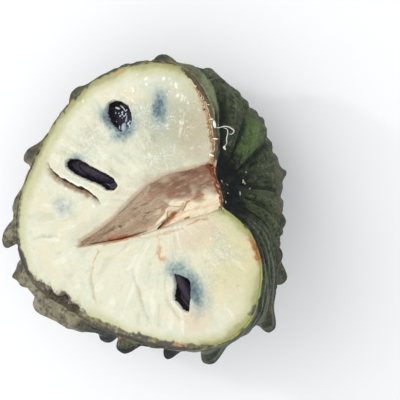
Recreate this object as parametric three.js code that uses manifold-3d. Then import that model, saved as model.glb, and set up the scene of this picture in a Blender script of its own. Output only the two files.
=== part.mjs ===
// One half of a custard apple, cut lengthwise, lying on its rounded back with the cut face up.
//
// Millimetres, +Z up, resting on z = 0. The fruit is shaped in a frame of its own, centred on its
// axis in the plane of the cut: x runs to the stem scar, y to the larger side of the cut face and
// z out of the cut face. A place on its skin is given by two angles about the centre: `fromStem`,
// counted from the stem scar, and `round`, counted from the larger side (0) over the back (90) to
// the smaller side (180). The last lines turn the whole fruit to the way it lies.

import * as THREE from "three";
import { ConvexHull } from "three/addons/math/ConvexHull.js";
import { mergeVertices } from "three/addons/utils/BufferGeometryUtils.js";
import Module from "manifold-3d";

const wasm = await Module();
wasm.setup();

const degree = Math.PI / 180;

// ---- Driving dimensions ----

const clearance = 0.3;
const rindThickness = 1.7;

// The outline of the cut face without its tubercles: [degrees from the stem, radius].
const largeSide = [
  [0, 46], [8, 46.5], [12, 51], [20, 55.5], [30, 61], [40, 64.5], [48, 65], [60, 62.5],
  [77, 57.5], [95, 52.5], [115, 48], [135, 47], [150, 48], [168, 47.5], [180, 46.5],
];
const smallSide = [
  [0, 46], [8, 46.5], [12, 50], [20, 57.5], [30, 62.5], [40, 64.5], [48, 64.5], [58, 61],
  [72, 53], [85, 46], [100, 40.5], [120, 37.5], [145, 38], [162, 42], [180, 46.5],
];

// The shoulder round the stem cavity stands higher on the larger side, and dips once behind the
// smaller side.
const shoulderSwell = 3.3;
const shoulderAt = 38;
const shoulderSpread = 15;
const dipDepth = 2.5;
const dipAt = 122;
const dipSpread = 20;

// Behind the cut, the smaller side bulges out near the apex.
const bellySwell = 8.5;
const bellyAt = 148;
const bellySpread = 24;

// Ribs run out of the stem cavity over the shoulder, unevenly spaced.
const ribCount = 14;
const ribHeight = 1.0;
const ribStart = 8;
const ribCrest = 18;
const ribEnd = 44;
const ribDrift = [[3, 0.7, 1], [5, 0.5, 2.4]]; // [waves round the fruit, size, start]

// Tubercles stand in rows that spiral round the fruit, in columns that lean towards the smaller
// side with each row. None stands outside these distances from the stem.
const nearestToStem = 33;
const farthestFromStem = 176;
const firstRow = 35;
const rowStep = 18;
const rowCount = 10;
const rowDrop = 24;
const rowScatter = 3;
const firstColumn = 1;
const columnStep = 28;
const columnLean = 1.2;
const columnScatter = 4;
const tubercleSpacing = 12.5;

// A tubercle is a rounded knob on a broad swell, leaning towards the apex with its nose drooping.
const tubercleHeight = 5.8;
const tubercleLean = 4.8;
const swellShare = 0.34;
const swellReach = { stemward: 11, apexward: 6, sideways: 7.5 };
const knobReach = { stemward: 4.6, apexward: 3.7, sideways: 4.2 };
const knobRoundness = 4;
const noseDroop = 0.4;
const knobPinch = 0.45;
const sizeRange = [0.85, 1.15];

// Tubercles are low on the shoulder, and reach full size this far from the stem on the larger and
// on the smaller side. Where the smaller side bulges they are low again.
const lowTubercle = 0.3;
const fullSizeFrom = [80, 50];
const bulgeFlattens = 0.6;

// Those that the cut passes through, from the stem to the apex, by size.
const cutTubercles = [0.35, 0.45, 0.8, 1.1];

// Some stand outside the rows, by the apex and beside the cut: [from the stem, round, size].
const strayTubercles = [[148, 4, 0.4], [171, 118, 1], [160, 163, 0.55], [83, 162, 0.6]];

// The woody core lies sunk in a valley of the cut face and comes out through the rind, where its
// stem end is the scar:
// [distance towards the stem, smaller-side edge, larger-side edge, depth below its top].
const coreSections = [
  [-17, -0.2, 1.2, 2], [-8, -2, 2.6, 3.5], [0, -3.6, 4.6, 5], [9, -4.6, 8, 6.5],
  [18, -5.2, 11, 8], [28, -5.5, 11.5, 9], [38, -6.5, 10, 10], [53, -6.5, 7.5, 10],
];
const scarDepth = 0.5; // below the skin round it
const coreRimDepth = 1.6;
const coreHollow = [[0.5, -3.2], [0, -4.2], [-0.5, -3.2]]; // [share of half its width, height]
const valleyFlare = 1.275; // how much wider the valley is than the core
const valleyRise = [0.5, 1]; // how far its cutter stands out of the face, at its edges and middle

// Seeds: half length, half breadth and half thickness.
const seedHalf = new THREE.Vector3(10, 5.4, 2.9);
const seedTaper = 0.22;

// Each seed's centre in the fruit's frame, then the turn of its long axis in the cut face, the
// dip of that axis into the flesh and the roll about it, in degrees, and the half length and half
// width of the mouth that lays it bare. The veiled ones only just reach the cut face.
const seeds = {
  seed_upper: { at: [14.8, 38.4, -5.2], turn: 112, dip: 22, roll: 0, mouth: [6.4, 5.3] },
  seed_middle: { at: [-2.7, 23.1, -4.9], turn: -41, dip: 0, roll: 80, mouth: [9.8, 2.9] },
  seed_lower: { at: [20.6, -30.2, -4.8], turn: -83, dip: 14, roll: 70, mouth: [7.2, 3.2] },
  seed_veiled_upper: { at: [33.2, 35.6, -3.5], turn: 74, dip: 5, roll: 20 },
  seed_veiled_left: { at: [-18.9, 16.6, -3.5], turn: 140, dip: 5, roll: 20 },
};

// The way the half lies: its cut face leans, and the tips under it are worn flat.
const restTurn = 23;
const restTilt = -17;
const restRoll = -15;
const restHeight = 52;
const restShift = [-5.42, -7.01];

// ---- The fruit's skin as a function of direction ----

// A smooth curve through [position, value] pairs, level at both ends.
function curveAt(pairs, position) {
  const last = pairs.length - 1;
  const slope = (i) =>
    i === 0 || i === last
      ? 0
      : (pairs[i + 1][1] - pairs[i - 1][1]) / (pairs[i + 1][0] - pairs[i - 1][0]);
  let i = 0;
  while (i < last - 1 && position > pairs[i + 1][0]) i += 1;
  const width = pairs[i + 1][0] - pairs[i][0];
  const t = THREE.MathUtils.clamp((position - pairs[i][0]) / width, 0, 1);
  const rise = pairs[i + 1][1] - pairs[i][1];
  const start = slope(i) * width;
  const end = slope(i + 1) * width;
  const bend = t * t * (3 - 2 * t);
  return pairs[i][1] + rise * bend + start * t * (1 - t) ** 2 - end * t * t * (1 - t);
}

function direction(fromStem, round) {
  const out = Math.sin(fromStem * degree);
  return new THREE.Vector3(
    Math.cos(fromStem * degree),
    out * Math.cos(round * degree),
    -out * Math.sin(round * degree),
  );
}

function ribAt(fromStem, round) {
  const rise = THREE.MathUtils.smoothstep(fromStem, ribStart, ribCrest);
  const fall = 1 - THREE.MathUtils.smoothstep(fromStem, ribCrest, ribEnd);
  const drift = ribDrift.reduce(
    (sum, [waves, size, start]) => sum + size * Math.sin(waves * round + start),
    0,
  );
  return ribHeight * rise * fall * Math.cos(ribCount * round + drift);
}

function belly(fromStem, round) {
  const across = (fromStem - bellyAt) / bellySpread;
  const behind = 180 - round / degree;
  const start = THREE.MathUtils.smoothstep(behind, -2, 12);
  const end = 1 - THREE.MathUtils.smoothstep(behind, 25, 80);
  return bellySwell * Math.exp(-across * across) * start * end;
}

// The skin without tubercles, in the given direction.
function bodyPoint(towards, ribbed = true) {
  const fromStem = Math.acos(THREE.MathUtils.clamp(towards.x, -1, 1)) / degree;
  const round = Math.atan2(-towards.z, towards.y);
  const share = (1 + Math.cos(round)) / 2;
  const outline = share * curveAt(largeSide, fromStem) + (1 - share) * curveAt(smallSide, fromStem);
  const across = (fromStem - shoulderAt) / shoulderSpread;
  const dip = dipDepth * Math.exp(-(((round / degree - dipAt) / dipSpread) ** 2));
  const shoulder = (shoulderSwell * Math.sin(2 * round) - dip) * Math.exp(-across * across);
  const ribs = ribbed ? ribAt(fromStem, round) : 0;
  return towards.clone().multiplyScalar(outline + shoulder + belly(fromStem, round) + ribs);
}

// The outward normal of the smooth body in the given direction.
function bodyNormal(towards) {
  const step = 0.01;
  const side = Math.abs(towards.x) < 0.9 ? new THREE.Vector3(1, 0, 0) : new THREE.Vector3(0, 1, 0);
  const first = new THREE.Vector3().crossVectors(side, towards).normalize();
  const second = new THREE.Vector3().crossVectors(towards, first);
  const slopeAlong = (way) => {
    const ahead = bodyPoint(towards.clone().addScaledVector(way, step).normalize(), false);
    const behind = bodyPoint(towards.clone().addScaledVector(way, -step).normalize(), false);
    return ahead.sub(behind);
  };
  return new THREE.Vector3().crossVectors(slopeAlong(first), slopeAlong(second)).normalize();
}

// A repeatable number from 0 to 1 for each count.
function scatter(count) {
  const value = Math.sin(count * 12.9898) * 43758.5453;
  return value - Math.floor(value);
}

// Where a tubercle stands, with the ways out of the skin, to the apex and to the side.
function seatAt(fromStem, round) {
  const towards = direction(fromStem, round);
  const base = bodyPoint(towards, false);
  const normal = bodyNormal(towards);
  const apexward = new THREE.Vector3(-1, 0, 0).addScaledVector(normal, normal.x).normalize();
  const sideways = new THREE.Vector3().crossVectors(normal, apexward);
  return { base, normal, apexward, sideways };
}

// Places the tubercles row by row, leaving out those that would crowd a neighbour, then the strays.
function placeTubercles() {
  const placed = [];
  for (let row = 0; row < rowCount; row += 1) {
    const offset = firstColumn + (row % 2 === 0 ? columnStep / 2 : 0);
    for (let round = offset; round < 180; round += columnStep) {
      const count = placed.length + 1;
      const across = round / 180;
      const alongNudge = rowScatter * (scatter(count) - 0.5);
      const fromStem = firstRow + rowStep * row - rowDrop * across + alongNudge;
      if (fromStem < nearestToStem || fromStem > farthestFromStem) continue;
      const roundNudge = columnLean * row * across + columnScatter * (scatter(count + 0.5) - 0.5);
      const seat = seatAt(fromStem, round + roundNudge);
      if (placed.some((other) => other.base.distanceTo(seat.base) < tubercleSpacing)) continue;
      const fullFrom = THREE.MathUtils.lerp(...fullSizeFrom, across);
      const grown = THREE.MathUtils.smoothstep(fromStem, nearestToStem, fullFrom);
      const flattened = (bulgeFlattens * belly(fromStem, round * degree)) / bellySwell;
      const full = THREE.MathUtils.lerp(...sizeRange, scatter(count + 0.25)) * (1 - flattened);
      const drawn = full * THREE.MathUtils.lerp(lowTubercle, 1, grown);
      const size = round === firstColumn ? cutTubercles[(row - 1) / 2] : drawn;
      placed.push({ ...seat, size });
    }
  }
  const strays = strayTubercles.map(([fromStem, round, size]) => ({ ...seatAt(fromStem, round), size }));
  return [...placed, ...strays];
}

const tubercles = placeTubercles();

// Distance from a tubercle's middle as a share of its reach, with the way to the apex positive.
function shareOf(reach, along, side) {
  return Math.hypot(along / (along > 0 ? reach.apexward : reach.stemward), side / reach.sideways);
}

// The finished skin: the body with its tubercles raised from it.
function skinPoint(towards) {
  const point = bodyPoint(towards);
  const moved = point.clone();
  for (const { base, normal, apexward, sideways, size } of tubercles) {
    if (point.distanceTo(base) > 2 * swellReach.stemward) continue;
    const away = point.clone().sub(base);
    const along = away.dot(apexward);
    const side = away.dot(sideways);
    const swell = Math.max(0, 1 - shareOf(swellReach, along, side) ** 2) ** 2;
    const knob = Math.exp(-(shareOf(knobReach, along, side) ** knobRoundness));
    const height = THREE.MathUtils.lerp(knob, swell, swellShare);
    moved.addScaledVector(normal, size * (tubercleHeight * height - noseDroop * knob * along));
    moved.addScaledVector(apexward, size * tubercleLean * height);
    moved.addScaledVector(sideways, -Math.min(size, 1) * knobPinch * side * Math.sqrt(knob));
  }
  return moved;
}

// ---- Closed meshes and solids ----

function toSolid(geometry) {
  const bare = geometry.clone();
  bare.deleteAttribute("normal");
  bare.deleteAttribute("uv");
  const merged = mergeVertices(bare);
  return new wasm.Manifold(
    new wasm.Mesh({
      numProp: 3,
      vertProperties: new Float32Array(merged.attributes.position.array),
      triVerts: new Uint32Array(merged.index.array),
    }),
  );
}

function toGeometry(solid) {
  const mesh = solid.getMesh();
  const geometry = new THREE.BufferGeometry();
  geometry.setAttribute("position", new THREE.BufferAttribute(mesh.vertProperties, 3));
  geometry.setIndex(new THREE.BufferAttribute(mesh.triVerts, 1));
  geometry.computeVertexNormals();
  return geometry;
}

// The fruit's usual radius, which turns a distance on the skin into an angle.
const typicalRadius = 50;

// Joins directions into a closed net of triangles and gives each one its place on a surface.
function wrap(directions, surface) {
  const hull = new ConvexHull().setFromPoints(directions);
  const index = new Map(directions.map((towards, i) => [towards, i]));
  const triangles = [];
  for (const face of hull.faces) {
    let edge = face.edge;
    do {
      triangles.push(index.get(edge.head().point));
      edge = edge.next;
    } while (edge !== face.edge);
  }
  const places = directions.flatMap((towards) => surface(towards).toArray());
  const geometry = new THREE.BufferGeometry();
  geometry.setAttribute("position", new THREE.Float32BufferAttribute(places, 3));
  geometry.setIndex(triangles);
  return geometry;
}

// Keeps directions whose places on the skin stay `apart` millimetres from those already kept.
function collect(groups) {
  const kept = [];
  for (const { directions, apart } of groups) {
    for (const towards of directions) {
      const limit = (apart / typicalRadius) ** 2;
      if (!kept.some((other) => other.distanceToSquared(towards) < limit)) kept.push(towards);
    }
  }
  return kept;
}

// Evenly scattered directions, one in `thinning` of them on the side that the cut takes away.
function evenDirections(count, thinning = 5) {
  const directions = [];
  const goldenTurn = Math.PI * (3 - Math.sqrt(5));
  const wellAboveCut = 0.2;
  for (let i = 0; i < count; i += 1) {
    const z = 1 - (2 * i + 1) / count;
    if (z > wellAboveCut && i % thinning > 0) continue;
    const out = Math.sqrt(1 - z * z);
    directions.push(new THREE.Vector3(out * Math.cos(goldenTurn * i), out * Math.sin(goldenTurn * i), z));
  }
  return directions;
}

// Rows of directions along the rim of the cut face.
function rimDirections(step, lifts) {
  const directions = [];
  for (const lift of lifts) {
    for (let turn = 0; turn < 360; turn += step) {
      directions.push(
        new THREE.Vector3(Math.cos(turn * degree), Math.sin(turn * degree), lift).normalize(),
      );
    }
  }
  return directions;
}

// Rings of directions round each tubercle: three on its knob and one at the foot of its swell.
function tubercleDirections() {
  const rings = [[knobReach, 0, 1], [knobReach, 0.55, 7], [knobReach, 0.9, 9]];
  rings.push([knobReach, 1.25, 9], [swellReach, 1, 12]);
  return tubercles.flatMap(({ base, apexward, sideways }) =>
    rings.flatMap(([reach, share, count]) =>
      Array.from({ length: count }, (_, i) => {
        const turn = (2 * Math.PI * i) / count;
        const along = share * Math.cos(turn);
        return base
          .clone()
          .addScaledVector(apexward, along * (along > 0 ? reach.apexward : reach.stemward))
          .addScaledVector(sideways, share * Math.sin(turn) * reach.sideways)
          .normalize();
      }),
    ),
  );
}

// Rings of directions close enough to carry the ribs round the stem.
function ribDirections() {
  const directions = [direction(0, 0), direction(4, 0), direction(4, 120), direction(4, 240)];
  for (const fromStem of [8, 10, 12.5, 16, 20, 25, 31]) {
    for (let round = -10; round <= 190; round += 5) directions.push(direction(fromStem, round));
  }
  return directions;
}

const skinDirections = collect([
  { directions: tubercleDirections(), apart: 0.7 },
  { directions: ribDirections(), apart: 1.1 },
  { directions: rimDirections(3, [0]), apart: 1.6 },
  { directions: rimDirections(4, [-0.06, 0.06]), apart: 2.2 },
  { directions: evenDirections(900), apart: 3.6 },
]);
const innerDirections = collect([
  { directions: [...ribDirections().slice(0, 4), direction(8, 0), direction(8, 60)], apart: 1 },
  { directions: rimDirections(4, [0]), apart: 1.6 },
  { directions: evenDirections(800), apart: 3 },
]);

const depthBelowSkin = (depth) => (towards) =>
  bodyPoint(towards, false).addScaledVector(bodyNormal(towards), -depth);

// Everything behind the cut.
const blockSize = 300;
const block = new THREE.BoxGeometry(blockSize, blockSize, blockSize);
const behindCut = toSolid(block.clone().translate(0, 0, -blockSize / 2));

// A closed tube through rings of equal count.
function loft(rings) {
  const count = rings[0].length;
  const places = rings.flat().flatMap((point) => point.toArray());
  const triangles = [];
  for (let ring = 0; ring < rings.length - 1; ring += 1) {
    for (let i = 0; i < count; i += 1) {
      const here = ring * count + i;
      const beside = ring * count + ((i + 1) % count);
      triangles.push(here, beside, here + count, beside, beside + count, here + count);
    }
  }
  const last = (rings.length - 1) * count;
  for (let i = 1; i < count - 1; i += 1) {
    triangles.push(0, i + 1, i, last, last + i, last + i + 1);
  }
  const geometry = new THREE.BufferGeometry();
  geometry.setAttribute("position", new THREE.Float32BufferAttribute(places, 3));
  geometry.setIndex(triangles);
  return geometry;
}

// ---- The sub-parts ----

function makeRind() {
  const outside = toSolid(wrap(skinDirections, skinPoint));
  const inside = toSolid(wrap(innerDirections, depthBelowSkin(rindThickness)));
  return outside.intersect(behindCut).subtract(inside).subtract(makeValley());
}

// The core's cross-sections: a round belly under a hollowed top. `grown` widens them.
function coreRings(grown, top) {
  const pointCount = 8;
  return coreSections.map(([x, low, high, depth]) => {
    const middle = (low + high) / 2;
    const half = (high - low) / 2 + grown;
    const ring = [];
    for (let i = 0; i <= pointCount; i += 1) {
      const turn = (Math.PI * i) / pointCount;
      const z = -coreRimDepth - (depth + grown) * Math.sin(turn);
      ring.push(new THREE.Vector3(x, middle - half * Math.cos(turn), z));
    }
    for (const [across, z] of top) ring.push(new THREE.Vector3(x, middle + half * across, z));
    return ring;
  });
}

function makeCore() {
  const whole = toSolid(wrap(innerDirections, depthBelowSkin(scarDepth)));
  return toSolid(loft(coreRings(0, coreHollow))).intersect(whole);
}

function makeValley() {
  const [edgeRise, middleRise] = valleyRise;
  const mouth = [[valleyFlare, edgeRise], [0, middleRise], [-valleyFlare, edgeRise]];
  return toSolid(loft(coreRings(clearance, mouth)));
}

function seedShape(grown) {
  const shape = new THREE.SphereGeometry(1, 14, 10).rotateZ(Math.PI / 2);
  const place = shape.attributes.position;
  for (let i = 0; i < place.count; i += 1) {
    const x = place.getX(i);
    const taper = 1 - seedTaper * x * x * Math.sign(x);
    place.setXYZ(
      i,
      x * (seedHalf.x + grown),
      place.getY(i) * (seedHalf.y + grown) * taper,
      place.getZ(i) * (seedHalf.z + grown) * taper,
    );
  }
  return shape;
}

function seedPose({ at, turn, dip, roll }) {
  const pose = new THREE.Matrix4().makeRotationZ(turn * degree);
  pose.multiply(new THREE.Matrix4().makeRotationY(dip * degree));
  pose.multiply(new THREE.Matrix4().makeRotationX(roll * degree));
  return pose.setPosition(...at);
}

// The opening in the cut face over a bare seed, straight-sided down to the seed's middle.
function mouthShape({ at, turn, mouth }) {
  const [halfLength, halfWidth] = mouth;
  const shape = new THREE.CylinderGeometry(1, 1, 2 * Math.abs(at[2]), 16).rotateX(Math.PI / 2);
  shape.scale(halfLength + clearance, halfWidth + clearance, 1);
  return shape.rotateZ(turn * degree).translate(at[0], at[1], 0);
}

function makeFlesh(fleshBody) {
  let flesh = fleshBody.subtract(makeValley());
  for (const seed of Object.values(seeds)) {
    flesh = flesh.subtract(toSolid(seedShape(clearance).applyMatrix4(seedPose(seed))));
    if (seed.mouth) flesh = flesh.subtract(toSolid(mouthShape(seed)));
  }
  return flesh;
}

function named(name, geometry, color, roughness) {
  const material = new THREE.MeshStandardMaterial({ color, roughness, metalness: 0 });
  const mesh = new THREE.Mesh(geometry, material);
  mesh.name = name;
  return mesh;
}

// ---- The whole half, set down ----

const fruit = new THREE.Group();
fruit.rotation.set(restRoll * degree, restTilt * degree, restTurn * degree, "ZYX");
fruit.position.set(restShift[0], restShift[1], restHeight);
fruit.updateMatrixWorld();

const surface = block.clone().translate(0, 0, blockSize / 2);
const aboveSurface = toSolid(surface.applyMatrix4(fruit.matrixWorld.clone().invert()));

const fleshDepth = depthBelowSkin(rindThickness + clearance);
const fleshBody = toSolid(wrap(innerDirections, fleshDepth)).intersect(behindCut);

fruit.add(named("rind", toGeometry(makeRind().intersect(aboveSurface)), 0x4b5531, 0.6));
fruit.add(named("flesh", toGeometry(makeFlesh(fleshBody)), 0xefead2, 0.35));
fruit.add(named("core", toGeometry(makeCore()), 0xb8977a, 0.6));
for (const [name, seed] of Object.entries(seeds)) {
  const mesh = named(name, seedShape(0), 0x1d1412, 0.15);
  mesh.applyMatrix4(seedPose(seed));
  fruit.add(mesh);
}

const group = new THREE.Group();
group.add(fruit);

export default group;
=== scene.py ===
import bpy
import math
import numpy as np
from mathutils import Matrix, Vector


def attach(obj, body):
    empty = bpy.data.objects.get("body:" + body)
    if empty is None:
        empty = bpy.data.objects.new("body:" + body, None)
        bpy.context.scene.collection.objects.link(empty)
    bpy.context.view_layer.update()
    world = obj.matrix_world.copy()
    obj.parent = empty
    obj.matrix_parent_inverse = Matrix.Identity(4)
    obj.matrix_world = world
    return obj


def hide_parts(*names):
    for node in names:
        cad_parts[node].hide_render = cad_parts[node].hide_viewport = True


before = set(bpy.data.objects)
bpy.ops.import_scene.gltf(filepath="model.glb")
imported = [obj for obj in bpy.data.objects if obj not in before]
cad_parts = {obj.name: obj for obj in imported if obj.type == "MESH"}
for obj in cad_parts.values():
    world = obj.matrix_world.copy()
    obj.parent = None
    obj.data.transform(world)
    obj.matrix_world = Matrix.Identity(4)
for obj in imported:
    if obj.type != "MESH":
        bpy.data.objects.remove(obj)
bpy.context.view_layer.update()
print("frame loaded")

# Half a custard apple, cut lengthwise. It is shaped in millimetres in the fruit's own frame: x runs
# to the stem scar, y to the larger side of the cut face and z out of the cut face. A place on the
# skin is given by two angles in degrees: fromStem, and turn, which counts from the larger side (0)
# over the back (90) to the smaller side (180).
mm = 0.001

lie = {  # how the half lies in the row's frame, as the solids do
    "place": (-5.42, -7.01, 52.0),
    "turn": 23,
    "tilt": -17,
    "roll": -15,
}


def laid(place, turn, tilt, roll):
    # rolled about x, tilted about y and turned about z, in degrees, and then moved to its place
    turned = Matrix.Rotation(math.radians(turn), 4, "Z")
    tilted = Matrix.Rotation(math.radians(tilt), 4, "Y")
    rolled = Matrix.Rotation(math.radians(roll), 4, "X")
    return np.array(Matrix.Translation(place) @ turned @ tilted @ rolled)


def moveBy(matrix, points):
    return points @ matrix[:3, :3].T + matrix[:3, 3]


def toRow(points):
    placed = moveBy(laid(**lie), points)
    placed[:, 2] = np.maximum(placed[:, 2], 0)  # worn flat where it rests
    return placed * mm


def smooth(value, low, high):
    t = np.clip((value - low) / (high - low), 0, 1)
    return t * t * (3 - 2 * t)


def fade(value, low, high):
    return 1 - smooth(value, low, high)


def between(value, rise, full, fall, gone):
    return smooth(value, rise, full) * fade(value, fall, gone)


def bell(distance):
    return np.exp(-distance * distance)


def flat(place):
    return np.column_stack([place, 0 * place[:, 0]])


def noise(points, cell, seed):
    # smooth value noise from -1 to 1 with lumps of about `cell` millimetres
    repeat = 24  # lumps before the pattern repeats
    lattice = np.random.default_rng(seed).random((repeat, repeat, repeat)) * 2 - 1
    spot = (points if points.shape[1] == 3 else flat(points)) / cell
    corner = np.floor(spot).astype(int)
    part = spot - corner
    part = part * part * (3 - 2 * part)
    total = np.zeros(len(points))
    for step in np.ndindex(2, 2, 2):
        weight = np.abs(1 - np.array(step) - part).prod(axis=1)
        at = (corner + step) % repeat
        total += weight * lattice[at[:, 0], at[:, 1], at[:, 2]]
    return total


def curveAt(pairs, position):
    # smooth curve through [position, value] pairs, level at both ends
    at, value = np.array(pairs, float).T
    slope = np.zeros(len(at))
    slope[1:-1] = (value[2:] - value[:-2]) / (at[2:] - at[:-2])
    i = np.clip(np.searchsorted(at, position) - 1, 0, len(at) - 2)
    width = at[i + 1] - at[i]
    t = np.clip((position - at[i]) / width, 0, 1)
    bend = t * t * (3 - 2 * t)
    ease = slope[i] * width * t * (1 - t) ** 2 - slope[i + 1] * width * t * t * (1 - t)
    return value[i] + (value[i + 1] - value[i]) * bend + ease


def unit(vectors):
    return vectors / np.linalg.norm(vectors, axis=-1, keepdims=True)


def ringFaces(ringCount, around, first=0):
    # quads between closed rings of `around` points each
    ring, place = np.meshgrid(np.arange(ringCount - 1), np.arange(around), indexing="ij")
    here = first + ring * around + place
    beside = first + ring * around + (place + 1) % around
    return np.stack([here, beside, beside + around, here + around], -1).reshape(-1, 4).tolist()


def flipped(faces):
    return [face[::-1] for face in faces]


def closedFaces(ringCount, around, first=0, insideOut=False):
    # rings joined by quads, with a fan at each end to a tip; the two tips come after the rings
    end = first + ringCount * around
    faces = ringFaces(ringCount, around, first)
    faces += [(first + (i + 1) % around, first + i, end) for i in range(around)]
    faces += [(end + 1, end - around + i, end - around + (i + 1) % around) for i in range(around)]
    return flipped(faces) if insideOut else faces


def ballPoints(rings, around):
    # a ball of radius 1 round the z axis, from the top down, and then its two poles
    polar = np.linspace(0, math.pi, rings + 2)[1:-1]
    azimuth = np.arange(around) * 2 * math.pi / around
    polar, azimuth = [angle.ravel() for angle in np.meshgrid(polar, azimuth, indexing="ij")]
    x, y, z = np.sin(polar) * np.cos(azimuth), np.sin(polar) * np.sin(azimuth), np.cos(polar)
    return np.concatenate([np.column_stack([x, y, z]), [[0, 0, 1], [0, 0, -1]]])


def addObject(name, data):
    thing = bpy.data.objects.new(name, data)
    bpy.context.collection.objects.link(thing)
    return thing


def addPiece(name, points, faces, material, masks=None):
    mesh = bpy.data.meshes.new(name)
    mesh.from_pydata(toRow(np.asarray(points, float)).tolist(), [], faces)
    place = mesh.attributes.new("place", "FLOAT_VECTOR", "POINT")  # the fruit's own millimetres
    place.data.foreach_set("vector", np.asarray(points, np.float32).ravel())
    for maskName, values in (masks or {}).items():
        attribute = mesh.attributes.new(maskName, "FLOAT", "POINT")
        attribute.data.foreach_set("value", np.ascontiguousarray(values, dtype=np.float32))
    mesh.polygons.foreach_set("use_smooth", [True] * len(mesh.polygons))
    mesh.materials.append(material)
    mesh.update()
    piece = addObject(name, mesh)
    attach(piece, "root")
    return piece


def hexColour(code):
    # sRGB hex to the linear colour that shaders use
    channels = [int(code[i : i + 2], 16) / 255 for i in (1, 3, 5)]
    linear = [c / 12.92 if c <= 0.04045 else ((c + 0.055) / 1.055) ** 2.4 for c in channels]
    return (*linear, 1)


def addNode(material, kind, settings=None, links=None):
    # adds a node, sets its options and sockets, and links what feeds it
    node = material.node_tree.nodes.new(kind)
    for key, value in (settings or {}).items():
        if isinstance(key, str) and hasattr(node, key):
            setattr(node, key, value)
        else:
            node.inputs[key].default_value = value
    for socket, source in (links or {}).items():
        material.node_tree.links.new(source, node.inputs[socket])
    return node


fruit = {
    "largeSide": [  # outline of the cut face: (degrees from the stem, radius)
        (0, 46), (8, 46.5), (12, 51), (20, 55.5), (30, 61), (40, 64.5), (48, 65), (60, 62.5),
        (77, 57.5), (95, 52.5), (115, 48), (135, 47), (150, 48), (168, 47.5), (180, 46.5),
    ],
    "smallSide": [
        (0, 46), (8, 46.5), (12, 50), (20, 57.5), (30, 62.5), (40, 64.5), (48, 64.5), (58, 61),
        (72, 53), (85, 46), (100, 40.5), (120, 37.5), (145, 38), (162, 42), (180, 46.5),
    ],
    "shoulderSwell": 3.3,
    "shoulderAt": 38,
    "shoulderSpread": 15,
    "dipDepth": 2.5,
    "dipAt": 122,
    "dipSpread": 20,
    "bellySwell": 8.5,
    "bellyAt": 148,
    "bellySpread": 24,
    "ribs": 14,
    "ribHeight": 1.0,
    "ribStart": 8,
    "ribCrest": 18,
    "ribEnd": 44,
}

tubercle = {
    "nearestToStem": 33,
    "farthest": 176,
    "firstRow": 35,
    "rowStep": 18,
    "rows": 10,
    "rowDrop": 24,
    "firstColumn": 1,
    "columnStep": 28,
    "columnLean": 1.2,
    "spacing": 12.5,
    "height": 5.8,
    "lean": 4.8,
    "noseDroop": 0.4,
    "pinch": 0.45,
    "stemwardReach": 11,
    "apexwardReach": 6,
    "sidewaysReach": 7.5,
    "swellShare": 0.34,
    "knobStemward": 4.6,
    "knobApexward": 3.7,
    "knobSideways": 4.2,
    "knobPower": 4,
    "lowest": 0.3,
    "fullSizeFrom": (80, 50),
    "bulgeFlattens": 0.6,
    "cut": (0.35, 0.45, 0.8, 1.1),
    "strays": [(148, 4, 0.4), (171, 118, 1), (160, 163, 0.55), (83, 162, 0.6)],
}


def direction(fromStem, turn):
    f, t = np.radians(fromStem), np.radians(turn)
    return np.stack([np.cos(f), np.sin(f) * np.cos(t), -np.sin(f) * np.sin(t)], -1)


def skinAngles(towards):
    fromStem = np.degrees(np.arccos(np.clip(towards[:, 0], -1, 1)))
    return fromStem, np.degrees(np.arctan2(-towards[:, 2], towards[:, 1]))


def belly(fromStem, turn):
    behind = 180 - turn
    across = (fromStem - fruit["bellyAt"]) / fruit["bellySpread"]
    return fruit["bellySwell"] * bell(across) * between(behind, -2, 12, 25, 80)


def ribWave(fromStem, turn):
    r = np.radians(turn)
    warp = 0.35 * np.sin(3 * r + 1) + 0.25 * np.sin(5 * r + 2.4)
    rise = smooth(fromStem, fruit["ribStart"], fruit["ribCrest"])
    fall = fade(fromStem, fruit["ribCrest"], fruit["ribEnd"])
    return rise * fall * np.cos(fruit["ribs"] * r + 2 * warp)


def bodyPoint(towards, ribbed=True):
    fromStem, turn = skinAngles(towards)
    r = np.radians(turn)
    share = (1 + np.cos(r)) / 2
    large = curveAt(fruit["largeSide"], fromStem)
    outline = share * large + (1 - share) * curveAt(fruit["smallSide"], fromStem)
    dip = fruit["dipDepth"] * bell((turn - fruit["dipAt"]) / fruit["dipSpread"])
    shoulder = bell((fromStem - fruit["shoulderAt"]) / fruit["shoulderSpread"])
    shoulder = shoulder * (fruit["shoulderSwell"] * np.sin(2 * r) - dip)
    radius = outline + shoulder + belly(fromStem, turn)
    if ribbed:
        radius = radius + fruit["ribHeight"] * ribWave(fromStem, turn)
    return towards * radius[:, None]


def bodyNormal(towards):
    step = 0.01
    side = np.where(np.abs(towards[:, :1]) < 0.9, (1.0, 0, 0), (0, 1.0, 0))
    first = unit(np.cross(side, towards))
    second = np.cross(towards, first)
    slopes = []
    for way in (first, second):
        ahead = bodyPoint(unit(towards + way * step), False)
        slopes.append(ahead - bodyPoint(unit(towards - way * step), False))
    return unit(np.cross(slopes[0], slopes[1]))


def scatter(count):
    value = math.sin(count * 12.9898) * 43758.5453
    return value - math.floor(value)


def seatAt(fromStem, turn):
    towards = direction([fromStem], [turn])
    base = bodyPoint(towards, False)[0]
    normal = bodyNormal(towards)[0]
    apexward = unit(normal * normal[0] - (1, 0, 0))
    sideways = np.cross(normal, apexward)
    return {"base": base, "normal": normal, "apexward": apexward, "sideways": sideways}


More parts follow.
